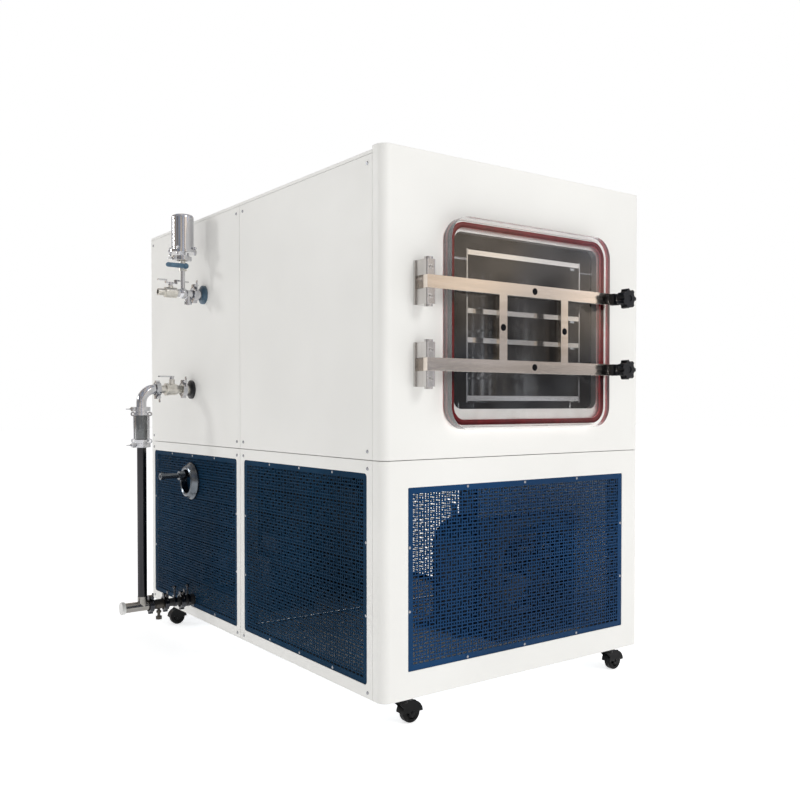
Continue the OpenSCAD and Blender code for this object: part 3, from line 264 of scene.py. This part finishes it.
finishes = {
    # coated sheet and enamelled housings: an even colour that softens the light
    "white": makePowderCoat("white powder coat", *whiteTones, 0.42, 0.4),
    # the blank panels carry painted shade: a dark colour on their inner faces low down
    "shadedInsideWhite": makePowderCoat("white powder coat, lined", *whiteTones, 0.42, 0.4,
                            otherTone="#18242e", where=stretches["shadedBackInside"]),
    "grille": makePowderCoat("navy powder coat", "#0c3c66", "#0a3053", 0.46, 0.12),
    "sideGrille": makePowderCoat("shaded navy powder coat", "#0f3550", "#0c2b42", 0.6, 0.05),
    "frame": makePowderCoat("grey frame paint", "#5b6268", "#4d545a", 0.5),
    # the galvanised deck carries painted shade: a dark colour on its baffle
    "deck": makePowderCoat("galvanised sheet", "#d4d7d9", "#c4c8cb", 0.45,
                           otherTone="#18222c", where=stretches["shadedBaffle"]),
    "box": makePowderCoat("grey box enamel", "#343c44", "#2b3239", 0.5),
    "machine": makePowderCoat("blue machine enamel", "#27425e", "#1d344c", 0.4),
    # painted shade: the condenser is given a near-black colour for the shade inside the cabinet
    "radiator": makePowderCoat("black condenser paint", "#22262b", "#1a1d21", 0.5),

    # polished steel: streaked reflections of the room
    "bar": makePolishedSteel("polished flat bar", "#eee6dc", "#e2d9ce", 0.11, barGrain),
    "hinge": makePolishedSteel("ground hinge steel", "#cfcecc", "#bdbbb8", 0.2, uprightGrain),
    "tube": makePolishedSteel("polished sanitary tube", "#cfd0d2", "#c0c2c5", 0.08, uprightGrain),
    # the clamps carry painted shade: darker in the lowest 400 mm
    "clamp": makePolishedSteel("polished clamp casting", "#cfd0d2", "#b6b8bb", 0.12, evenGrain,
                               otherTone="#3f4043", where=stretches["shadedDrainRun"]),
    # painted reflection: the pipe is given a dark colour for the dark room it reflects
    "pipe": makePolishedSteel("dark pickled pipe", "#3e3e40", "#343436", 0.12, uprightGrain),
    "tee": makePolishedSteel("mill-finish tee", "#9a9894", "#86847f", 0.16, levelGrain),
    "port": makePolishedSteel("dark turned flange", "#6a7075", "#595f64", 0.22, levelGrain),
    "inner": makePolishedSteel("bright drawn steel", "#d2d3d4", "#c2c4c6", 0.1, uprightGrain, edge=0.0),
    "corrugated": makePolishedSteel("corrugated steel hose", "#e9dcc6", "#d3c4aa", 0.16, evenGrain,
                                    edge=0.3 * mm),
    "shelf": makePolishedSteel("bright shelf steel", "#e8e8e7", "#dededd", 0.09, levelGrain, drawn=0.05),
    "mirror": makeChamberSteel("chamber steel", ("#9a9da1", "#85888d"), ("#e4e1dd", "#d8d4cf"),
                               stretches["flange"]),

    # cast and plated steel: duller, with soft highlights
    "cast": makeCastSteel("cast valve steel", *valveTones, 0.3),
    # the drain valves carry painted shade: darker in the lowest 400 mm
    "drainCast": makeCastSteel("cast drain steel", *valveTones, 0.3,
                               otherTone="#4a4743", where=stretches["shadedDrainRun"]),
    "screw": makeCastSteel("nickelled screw steel", "#a9abae", "#8f9194", 0.34),
    "bolt": makeCastSteel("blackened bolt steel", "#1b1c1e", "#121315", 0.45),

    # moulded plastic and rubber: an even tone with little reflection
    "knob": makeMoulded("black phenolic knob", "#0f1319", "#080a0e", 0.3, shine=0.35),
    "caster": makeMoulded("black nylon caster", "#090a0b", "#050606", 0.34, shine=0.15),
    "tread": makeMoulded("black polyurethane tread", "#070808", "#040404", 0.45, shine=0.15),
    "rubber": makeMoulded("seal rubber", "#4a667b", "#38505f", 0.4,
                          otherTone="#141619", where=stretches["lowSeal"]),
    "hose": makeMoulded("black hose rubber", "#141517", "#0c0d0e", 0.5),
    "gasket": makeMoulded("red silicone rubber", "#c22a32", "#a8222a", 0.42, 1.5 * mm),
    "blueGrip": makeMoulded("blue vinyl grip", "#4f7086", "#3f5c72", 0.4),
    "cap": makeMoulded("white plastic cap", "#e4e4e2", "#d6d6d3", 0.35),
    "lagging": makeMoulded("black foam lagging", "#202123", "#161718", 0.85, 3 * mm, 0.3 * mm),

    # clear pieces: the view through them, with a glint
    "acrylic": makeClear("cast acrylic", "#f6f9f9", "#ffffff", 1.49, 0.01, 0.12),
    "glass": makeClear("smoked sight glass", "#8f9192", "#a9abab", 1.47, 0.04),
}

# the nodes that wear each finish
wearing = {
    "white": ["lower_front_cover", "upper_front_cover", "lower_side_panels"],
    "shadedInsideWhite": ["blank_panels"],
    "grille": ["front_grille"],
    "sideGrille": ["side_grilles"],
    "frame": ["frame_posts", "frame_side_rails", "frame_cross_rails"],
    "deck": ["inner_sheets"],
    "box": ["electrical_box"],
    "bar": ["door_frame"],
    "hinge": ["hinge_brackets", "hinge_pins"],
    "tube": ["vent_fitting", "vent_filter", "drain_elbow", "sight_glass_frame",
             "air_lever", "drain_lever", "upper_thrust_washer", "lower_thrust_washer"],
    "clamp": ["pipe_clamps"],
    "tee": ["drain_tee"],
    "pipe": ["drain_pipe"],
    "port": ["vacuum_port"],
    "mirror": ["chamber"],
    "inner": ["shelf_rack", "oil_manifold"],
    "shelf": ["shelves"],
    "cast": ["vent_valve", "air_valve", "clamp_bosses"],
    "drainCast": ["drain_valves"],
    "screw": ["panel_screws"],
    "bolt": ["door_bolts"],
    "knob": ["clamp_blocks", "upper_star_knob", "lower_star_knob", "condenser_fan"],
    "caster": ["caster_plates", "front_left_fork", "front_right_fork", "rear_left_fork", "rear_right_fork"],
    "tread": ["front_left_wheel", "front_right_wheel", "rear_left_wheel", "rear_right_wheel"],
    "rubber": ["pipe_seals"],
    "hose": ["drain_hose"],
    "gasket": ["door_gasket"],
    "blueGrip": ["vent_lever"],
    "cap": ["end_cap"],
    "machine": ["compressor", "vacuum_pump"],
    "radiator": ["condenser"],
    "lagging": ["cold_trap"],
    "acrylic": ["door_panel"],
    "glass": ["sight_glass_tube"],
}

for finish, nodeNames in wearing.items():
    for nodeName in nodeNames:
        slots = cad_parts[nodeName].data.materials
        slots.clear()
        slots.append(finishes[finish])
print("materials done")


# trees and plain meshes

def newTree(name, inputs):
    # a tree from geometry to geometry, with named inputs
    tree = bpy.data.node_groups.new(name, "GeometryNodeTree")
    sockets = tree.interface
    sockets.new_socket("Geometry", in_out="INPUT", socket_type="NodeSocketGeometry")
    for label, kind in inputs.items():
        sockets.new_socket(label, in_out="INPUT", socket_type=kind)
    sockets.new_socket("Geometry", in_out="OUTPUT", socket_type="NodeSocketGeometry")
    return tree, addNode(tree, "NodeGroupInput").outputs


def endTree(tree, geometry, material):
    coat = addNode(tree, "GeometryNodeSetMaterial", {"Geometry": geometry, "Material": material})
    addNode(tree, "NodeGroupOutput", {"Geometry": coat.outputs["Geometry"]})


def tiled(tree, points, tile, rotation):
    # the tile on each point, turned and made real
    source = addNode(tree, "GeometryNodeObjectInfo", {"Object": tile})
    spots = addNode(tree, "GeometryNodeInstanceOnPoints", {
        "Points": points, "Instance": source.outputs["Geometry"], "Rotation": rotation})
    real = addNode(tree, "GeometryNodeRealizeInstances", {"Geometry": spots.outputs["Instances"]})
    return real.outputs["Geometry"]


def grown(name, mesh, tree, values):
    # the mesh taken through the tree, as an object with a plain mesh and no modifier left
    piece = bpy.data.objects.new(name, mesh)
    bpy.context.scene.collection.objects.link(piece)
    change = piece.modifiers.new(name, "NODES")
    change.node_group = tree
    for item in tree.interface.items_tree:
        if item.item_type == "SOCKET" and item.in_out == "INPUT" and item.name in values:
            change[item.identifier] = values[item.name]
    graph = bpy.context.evaluated_depsgraph_get()
    plain = bpy.data.meshes.new_from_object(piece.evaluated_get(graph))
    piece.modifiers.clear()
    piece.data = plain
    return piece


def plainObject(name, form):
    mesh = bpy.data.meshes.new(name)
    form.to_mesh(mesh)
    form.free()
    return bpy.data.objects.new(name, mesh)


def roundSpots(steps):
    turns = [2 * math.pi * k / steps for k in range(steps)]
    return [(math.cos(turn), math.sin(turn)) for turn in turns]


def joinRings(form, rings, closed=False):
    # faces from each ring of vertices to the next, and from the last to the first where it is closed
    following = rings[1:] + rings[:1] if closed else rings[1:]
    for ring, other in zip(rings, following):
        for i in range(len(ring)):
            j = (i + 1) % len(ring)
            form.faces.new((ring[i], ring[j], other[j], other[i]))


def fillGrid(form, grid, holes):
    # a face in each field of a grid of vertices, apart from the holes
    for i in range(len(grid) - 1):
        for j in range(len(grid[i]) - 1):
            if (i, j) not in holes:
                form.faces.new((grid[i][j], grid[i + 1][j], grid[i + 1][j + 1], grid[i][j + 1]))


# perforated grilles: each sheet gets its maze of holes in place of the coarser slots

perforation = {"pitch": 10.5 * mm, "hole": 6.4 * mm, "border": 15 * mm, "thick": 1.5 * mm, "lap": 12 * mm,
               "merge": 0.2 * mm, "weld": 0.01 * mm}


def makeMazeCell():
    # four holes in a square, the two lower ones joined, as one flat tile seen along -Y
    pitch, hole = perforation["pitch"], perforation["hole"]
    bar = (pitch - hole) / 2
    lines = [-pitch, -pitch + bar, -bar, bar, pitch - bar, pitch]
    form = bmesh.new()
    grid = [[form.verts.new((x, 0, z)) for z in lines] for x in lines]
    fillGrid(form, grid, {(1, 1), (2, 1), (3, 1), (1, 3), (3, 3)})
    return plainObject("mazeCell", form)


def makePerforatedTree(cell, material):
    # the cell on each point of an upright grid, turned by quarters that change from place to place
    tree, given = newTree("perforatedSheet", {
        "Columns": "NodeSocketInt", "Rows": "NodeSocketInt", "Pitch": "NodeSocketFloat"})
    spans = []
    for count in ("Columns", "Rows"):
        whole = addNode(tree, "ShaderNodeMath", {
            0: given[count], 1: given["Pitch"]}, operation="MULTIPLY")
        span = addNode(tree, "ShaderNodeMath", {
            0: whole.outputs[0], 1: given["Pitch"]}, operation="SUBTRACT")
        spans.append(span.outputs[0])
    grid = addNode(tree, "GeometryNodeMeshGrid", {
        "Vertices X": given["Columns"], "Vertices Y": given["Rows"], "Size X": spans[0], "Size Y": spans[1]})
    standing = addNode(tree, "GeometryNodeTransform", {
        "Geometry": grid.outputs["Mesh"], "Rotation": (math.pi / 2, 0, 0)})
    index = addNode(tree, "GeometryNodeInputIndex").outputs[0]
    row = addNode(tree, "ShaderNodeMath", {0: index, 1: given["Rows"]}, operation="DIVIDE")
    column = addNode(tree, "ShaderNodeMath", {0: row.outputs[0]}, operation="FLOOR")
    quarters = addNode(tree, "ShaderNodeMath", {0: column.outputs[0], 1: index, 2: index},
                       operation="MULTIPLY_ADD")
    turn = addNode(tree, "ShaderNodeMath", {0: quarters.outputs[0], 1: math.pi / 2}, operation="MULTIPLY")
    spin = addNode(tree, "ShaderNodeCombineXYZ", {"Y": turn.outputs[0]})
    field = tiled(tree, standing.outputs["Geometry"], cell, spin.outputs["Vector"])
    joined = addNode(tree, "GeometryNodeMergeByDistance", {
        "Geometry": field, "Distance": perforation["merge"]})
    endTree(tree, joined.outputs["Geometry"], material)
    return tree


def addBorder(form, fieldWide, fieldTall, wide, tall):
    # the flat rim from the perforated field to the sheet's edge
    xs = [-wide / 2, -fieldWide / 2, fieldWide / 2, wide / 2]
    zs = [-tall / 2, -fieldTall / 2, fieldTall / 2, tall / 2]
    grid = [[form.verts.new((x, 0, z)) for z in zs] for x in xs]
    fillGrid(form, grid, {(1, 1)})


def makeGrille(name, tree, low, high, facing, coat):
    # facing is the outward direction of the sheet: -Y, -X or +X
    alongX = facing[1] != 0
    wide = (high.x - low.x) if alongX else (high.y - low.y)
    tall = high.z - low.z
    margin = 2 * perforation["border"] + 2 * perforation["lap"]
    cellSize = 2 * perforation["pitch"]
    columns, rows = int((wide - margin) / cellSize), int((tall - margin) / cellSize)
    counts = {"Columns": columns, "Rows": rows, "Pitch": cellSize}
    piece = grown(name, bpy.data.meshes.new(name), tree, counts)
    form = bmesh.new()
    form.from_mesh(piece.data)
    addBorder(form, columns * cellSize, rows * cellSize, wide, tall)
    middle = (low + high) / 2
    side = low.x if facing[0] < 0 else high.x
    for vert in form.verts:
        along, up = vert.co.x, vert.co.z
        if alongX:
            vert.co = Vector((middle.x + along, low.y, middle.z + up))
        else:
            vert.co = Vector((side, middle.y + along * facing[0], middle.z + up))
    bmesh.ops.remove_doubles(form, verts=form.verts, dist=perforation["weld"])
    bmesh.ops.recalc_face_normals(form, faces=form.faces)
    outward = Vector(facing)
    form.faces.ensure_lookup_table()
    if form.faces[0].normal.dot(outward) < 0:
        bmesh.ops.reverse_faces(form, faces=form.faces)
    rims = [edge for edge in form.edges if edge.is_boundary]
    made = bmesh.ops.extrude_edge_only(form, edges=rims)
    for item in made["geom"]:
        if isinstance(item, bmesh.types.BMVert):
            item.co -= outward * perforation["thick"]
    form.to_mesh(piece.data)
    form.free()
    piece.data.materials.clear()
    piece.data.materials.append(coat)
    return piece


def sheetBoxes(nodeName):
    # the boxes of a node's separate sheets, told apart by side and bay
    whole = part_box(nodeName)
    bayLine = (whole[0].y + whole[1].y) / 2
    groups = {}
    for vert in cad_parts[nodeName].data.vertices:
        bay = 0 if vert.co.y < bayLine else 1
        groups.setdefault((vert.co.x > 0, bay), []).append(vert.co.copy())
    boxes = {}
    for key, points in sorted(groups.items()):
        low = Vector((min(p[i] for p in points) for i in range(3)))
        high = Vector((max(p[i] for p in points) for i in range(3)))
        boxes[key] = (low, high)
    return boxes


def sideFacing(right):
    return (1 if right else -1, 0, 0)


frontFacing = (0, -1, 0)
cell = makeMazeCell()
mazeTree = makePerforatedTree(cell, finishes["grille"])
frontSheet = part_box("front_grille")
sideSheets = sheetBoxes("side_grilles")

frontGrille = makeGrille("frontPerforatedGrille", mazeTree, *frontSheet, frontFacing, finishes["grille"])
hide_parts("front_grille")
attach(frontGrille, "cabinet")
sideGrilles = []
for (right, bay), (low, high) in sideSheets.items():
    label = ("right" if right else "left") + ("Rear" if bay else "Front") + "PerforatedGrille"
    sideGrilles.append(makeGrille(label, mazeTree, low, high, sideFacing(right), finishes["sideGrille"]))
for sheet in sideGrilles:
    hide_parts("side_grilles")
    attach(sheet, "cabinet")
bpy.data.objects.remove(cell)
print("grilles done")


# door gasket: a ring that stands further in than the plain one

gasketForm = {"sideInset": 11 * mm, "endInset": 15 * mm, "width": 16 * mm, "corner": 48 * mm, "steps": 12,
              # half widths and depths of the section, from the door side over the lip and back
              "section": ((-1, 0), (-1, 0.45), (-0.92, 0.7), (-0.7, 0.88), (-0.35, 0.97), (0, 1),
                          (0.35, 0.97), (0.7, 0.88), (0.92, 0.7), (1, 0.45), (1, 0))}


def roundedLoop(low, high, corner, steps):
    # places and outward directions around a rectangle with round corners, in the XZ plane
    spots = []
    middles = ((high.x - corner, high.z - corner), (low.x + corner, high.z - corner),
               (low.x + corner, low.z + corner), (high.x - corner, low.z + corner))
    for k, (x, z) in enumerate(middles):
        for step in range(steps + 1):
            turn = math.pi / 2 * (k + step / steps)
            out = Vector((math.cos(turn), 0, math.sin(turn)))
            spots.append((Vector((x, 0, z)) + out * corner, out))
    return spots


def makeGasket():
    # a moulded ring with a rounded lip
    low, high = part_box("door_gasket")
    shrink = Vector((gasketForm["sideInset"], 0, gasketForm["endInset"]))
    depth, half = high.y - low.y, gasketForm["width"] / 2
    form = bmesh.new()
    rings = []
    for place, out in roundedLoop(low + shrink, high - shrink, gasketForm["corner"], gasketForm["steps"]):
        rings.append([form.verts.new(place + out * half * side + Vector((0, low.y + depth * back, 0)))
                      for side, back in gasketForm["section"]])
    joinRings(form, rings, closed=True)
    bmesh.ops.recalc_face_normals(form, faces=form.faces)
    for face in form.faces:
        face.smooth = True
    piece = plainObject("doorGasketRing", form)
    piece.data.materials.append(finishes["gasket"])
    bpy.context.scene.collection.objects.link(piece)
    return piece


gasket = makeGasket()
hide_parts("door_gasket")
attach(gasket, "door")
print("gasket done")


# rows of one small piece

def makeRowTree(tile, material):
    # the tile on each vertex of a mesh, turned about Z by the Turn input
    tree, given = newTree("row", {"Turn": "NodeSocketFloat"})
    spin = addNode(tree, "ShaderNodeCombineXYZ", {"Z": given["Turn"]})
    endTree(tree, tiled(tree, given["Geometry"], tile, spin.outputs["Vector"]), material)
    return tree


def makeRow(name, tree, places, turn=0.0, body="cabinet"):
    mesh = bpy.data.meshes.new(name)
    mesh.from_pydata(places, [], [])
    piece = grown(name, mesh, tree, {"Turn": turn})
    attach(piece, body)
    return piece


def makeHead(name, shape):
    # a low dome on the XZ plane that bulges towards -Y; its rings are given as parts of radius and height
    form = bmesh.new()
    radius, height = shape["radius"], shape["height"]
    spots = roundSpots(shape["around"])
    rings = [[form.verts.new((x * radius * wide, -height * tall, z * radius * wide)) for x, z in spots]
             for wide, tall in ((1, 0), (0.95, 0.45), (0.75, 0.8), (0.4, 0.96))]
    joinRings(form, rings)
    tip = form.verts.new((0, -height, 0))
    last = rings[-1]
    for k, vert in enumerate(last):
        form.faces.new((vert, last[(k + 1) % len(last)], tip))
    form.faces.new(rings[0])
    bmesh.ops.recalc_face_normals(form, faces=form.faces)
    return plainObject(name, form)


# rivets that hold the grilles

rivetForm = {"radius": 4.5 * mm, "height": 1.6 * mm, "around": 16, "inset": 19 * mm, "across": 3, "up": 2}


def evenly(start, end, count):
    return [start + (end - start) * (k + 1) / (count + 1) for k in range(count)]


def rivetPlaces(low, high, facing):
    # along the four edges of a sheet
    inset = rivetForm["inset"]
    alongX = facing[1] != 0
    start, end = (low.x, high.x) if alongX else (low.y, high.y)
    level = [(along, z) for along in evenly(start, end, rivetForm["across"])
             for z in (low.z + inset, high.z - inset)]
    upright = [(along, z) for z in evenly(low.z, high.z, rivetForm["up"])
               for along in (start + inset, end - inset)]
    if alongX:
        return [Vector((along, low.y, z)) for along, z in level + upright]
    side = low.x if facing[0] < 0 else high.x
    return [Vector((side, along, z)) for along, z in level + upright]


head = makeHead("rivetHead", rivetForm)
rivetTree = makeRowTree(head, finishes["screw"])
makeRow("frontRivets", rivetTree, rivetPlaces(*frontSheet, frontFacing))
for right, name in ((False, "leftRivets"), (True, "rightRivets")):
    places = [place for (side, bay), (low, high) in sideSheets.items() if side == right
              for place in rivetPlaces(low, high, sideFacing(right))]
    makeRow(name, rivetTree, places, math.pi / 2 if right else -math.pi / 2)
bpy.data.objects.remove(head)
print("rivets done")


# caps over the door's bolt heads, which lie in recesses of the bars

capForm = {"radius": 11 * mm, "height": 2.2 * mm, "around": 16, "sunk": 0.2 * mm, "recess": 2 * mm,
           "reach": 20 * mm}  # bolts stand further apart than reach


def spreadCentres(nodeName, reach):
    # the middles of a node's separate pieces, told apart by their distance in the XZ plane
    groups = []
    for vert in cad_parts[nodeName].data.vertices:
        flat = Vector((vert.co.x, 0, vert.co.z))
        group = next((g for g in groups if (g[0] - flat).length < reach), None)
        if group is None:
            groups.append([flat])
        else:
            group.append(flat)
    return [Vector(((min(p.x for p in g) + max(p.x for p in g)) / 2, 0,
                    (min(p.z for p in g) + max(p.z for p in g)) / 2)) for g in groups]


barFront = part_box("door_bolts")[0].y - capForm["recess"] + capForm["sunk"]
boltPlaces = [spot + Vector((0, barFront, 0)) for spot in spreadCentres("door_bolts", capForm["reach"])]
cap = makeHead("capHead", capForm)
makeRow("boltCaps", makeRowTree(cap, finishes["bolt"]), boltPlaces, body="door")
bpy.data.objects.remove(cap)
print("bolt caps done")


# corrugated hoses behind the shelves, beside the oil manifold

hoseForm = {"radius": 13 * mm, "groove": 3 * mm, "pitch": 8 * mm, "around": 16, "behind": 60 * mm,
            "offsets": (-205 * mm, -32 * mm, 30 * mm, 204 * mm)}


def makeHose(height):
    # a ribbed tube that stands on the origin, with four rings of vertices to a rib
    form = bmesh.new()
    steps = round(height / hoseForm["pitch"]) * 4
    spots = roundSpots(hoseForm["around"])
    rings = []
    for k in range(steps + 1):
        reach = hoseForm["radius"] - hoseForm["groove"] * (0.5 - 0.5 * math.cos(math.pi / 2 * k))
        rings.append([form.verts.new((x * reach, y * reach, height * k / steps)) for x, y in spots])
    joinRings(form, rings)
    form.faces.new(rings[0][::-1])
    form.faces.new(rings[-1])
    bmesh.ops.recalc_face_normals(form, faces=form.faces)
    for face in form.faces:
        face.smooth = len(face.verts) == 4
    return plainObject("hoseTile", form)


low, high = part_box("oil_manifold")
tile = makeHose(high.z - low.z)
middle = (low.x + high.x) / 2
hosePlaces = [Vector((middle + offset, low.y + hoseForm["behind"], low.z)) for offset in hoseForm["offsets"]]
makeRow("shelfHoses", makeRowTree(tile, finishes["corrugated"]), hosePlaces)
bpy.data.objects.remove(tile)
print("hoses done")


# room, light and camera

room = {
    "front": 0.74, "back": 0.6, "left": 0.45, "right": 1.0,  # how bright each side is
    # patches that steel reflects, with sizes as parts of the room's radius
    "dark": 0.48, "bright": 1.75, "patch": 0.17, "patchSpan": (0.37, 0.56),
    "cool": "#c6d0e4", "warm": "#ffeedd", "tint": 0.25, "tintSpan": (0.42, 0.58),
    "white": "#ffffff", "floorReach": 30.0, "floorGlow": 0.6, "floorGap": 0.5 * mm,
}


def makeFloor():
    form = bmesh.new()
    reach, level = room["floorReach"], cadLow.z - room["floorGap"]
    corners = ((-1, -1), (1, -1), (1, 1), (-1, 1))
    form.faces.new([form.verts.new((x * reach, y * reach, level)) for x, y in corners])
    floor = plainObject("studioFloor", form)
    bpy.context.scene.collection.objects.link(floor)
    material, tree, shader = newMaterial("white studio floor", {
        "Base Color": srgb(room["white"]), "Roughness": 0.9, "Specular IOR Level": 0.0})
    glow = addNode(tree, "ShaderNodeEmission", {"Strength": room["floorGlow"]})
    both = addNode(tree, "ShaderNodeAddShader", {0: shader.outputs[0], 1: glow.outputs[0]})
    tree.links.new(both.outputs[0], tree.nodes["Material Output"].inputs["Surface"])
    floor.data.materials.append(material)


def makeWorld():
    world = bpy.data.worlds.new("studio")
    bpy.context.scene.world = world
    world.use_nodes = True
    tree = world.node_tree
    tree.nodes.clear()
    around = addNode(tree, "ShaderNodeTexCoord").outputs["Generated"]
    parts = addNode(tree, "ShaderNodeSeparateXYZ", {"Vector": around})
    toFront = addNode(tree, "ShaderNodeMapRange", {
        "Value": parts.outputs["Y"], "From Min": -1.0, "To Min": room["front"], "To Max": room["back"]})
    toLeft = addNode(tree, "ShaderNodeMapRange", {
        "Value": parts.outputs["X"], "From Min": -1.0, "From Max": 0.0,
        "To Min": room["left"], "To Max": room["right"]})
    soft = addNode(tree, "ShaderNodeMath", {
        0: toFront.outputs["Result"], 1: toLeft.outputs["Result"]}, operation="MULTIPLY").outputs[0]
    even = addNode(tree, "ShaderNodeBackground", {"Strength": soft})

    # steel sees a room with darker and brighter, warmer and cooler patches, which light nothing else
    patches = addNode(tree, "ShaderNodeTexNoise", {
        "Vector": around, "Scale": 1 / room["patch"], "Detail": 3.0, "Roughness": 0.6})
    patch = addNode(tree, "ShaderNodeMapRange", {
        "Value": patches.outputs["Fac"], "From Min": room["patchSpan"][0], "From Max": room["patchSpan"][1],
        "To Min": room["dark"], "To Max": room["bright"]})
    tints = addNode(tree, "ShaderNodeTexNoise", {"Vector": around, "Scale": 1 / room["tint"]})
    tint = addNode(tree, "ShaderNodeMapRange", {
        "Value": tints.outputs["Fac"], "From Min": room["tintSpan"][0], "From Max": room["tintSpan"][1]})
    cool, warm = srgb(room["cool"]), srgb(room["warm"])
    tone = addNode(tree, "ShaderNodeMix", {
        "Factor": tint.outputs["Result"], "A": cool, "B": warm}, data_type="RGBA")
    strength = addNode(tree, "ShaderNodeMath", {0: soft, 1: patch.outputs["Result"]}, operation="MULTIPLY")
    patched = addNode(tree, "ShaderNodeBackground", {
        "Strength": strength.outputs[0], "Color": tone.outputs["Result"]})
    path = addNode(tree, "ShaderNodeLightPath").outputs
    bounced = addNode(tree, "ShaderNodeMath", {0: path["Glossy Depth"], 1: 0.5}, operation="GREATER_THAN")
    lit = addNode(tree, "ShaderNodeMixShader", {
        0: bounced.outputs[0], 1: even.outputs[0], 2: patched.outputs[0]})

    # the camera sees plain white, also through clear plastic
    direct = addNode(tree, "ShaderNodeMath", {
        0: path["Is Transmission Ray"], 1: bounced.outputs[0]}, operation="GREATER_THAN")
    seen = addNode(tree, "ShaderNodeMath", {
        0: path["Is Camera Ray"], 1: direct.outputs[0]}, operation="MAXIMUM")
    white = addNode(tree, "ShaderNodeBackground", {"Color": srgb(room["white"]), "Strength": 1.0})
    pick = addNode(tree, "ShaderNodeMixShader", {0: seen.outputs[0], 1: lit.outputs[0], 2: white.outputs[0]})
    addNode(tree, "ShaderNodeOutputWorld", {"Surface": pick.outputs[0]})


lamps = {
    "sideKey": {"place": (-5.0, 4.2, 2.9), "target": (0, 0, 1.0), "size": 0.9, "power": 57.0},
    "frontFill": {"place": (1.2, -6.0, 4.6), "target": (0.1, -0.8, 0.9), "size": 2.4, "power": 99.0},
}


def makeLamp(name, place, target, size, power):
    data = bpy.data.lights.new(name, "AREA")
    data.shape = "RECTANGLE"
    data.size = data.size_y = size
    data.energy = power
    lamp = bpy.data.objects.new(name, data)
    bpy.context.scene.collection.objects.link(lamp)
    lamp.location = place
    lamp.rotation_euler = (Vector(target) - Vector(place)).to_track_quat("-Z", "Y").to_euler()


view = {"place": (-1.8637, -2.9008, 0.9511), "yaw": 36.385, "pitch": -1.051, "lens": 40.18, "sensor": 36.0,
        "shift": (-0.005, 0.0251), "reach": 100}


def makeCamera():
    data = bpy.data.cameras.new("camera")
    data.lens = view["lens"]
    data.sensor_width = view["sensor"]
    data.shift_x, data.shift_y = view["shift"]
    data.clip_end = view["reach"]
    camera = bpy.data.objects.new("camera", data)
    bpy.context.scene.collection.objects.link(camera)
    camera.location = view["place"]
    camera.rotation_euler = (math.radians(90 + view["pitch"]), 0, math.radians(-view["yaw"]))
    bpy.context.scene.camera = camera


makeFloor()
makeWorld()
for name, lamp in lamps.items():
    makeLamp(name, **lamp)
makeCamera()
bpy.context.scene.view_settings.view_transform = "Standard"
print("studio done")
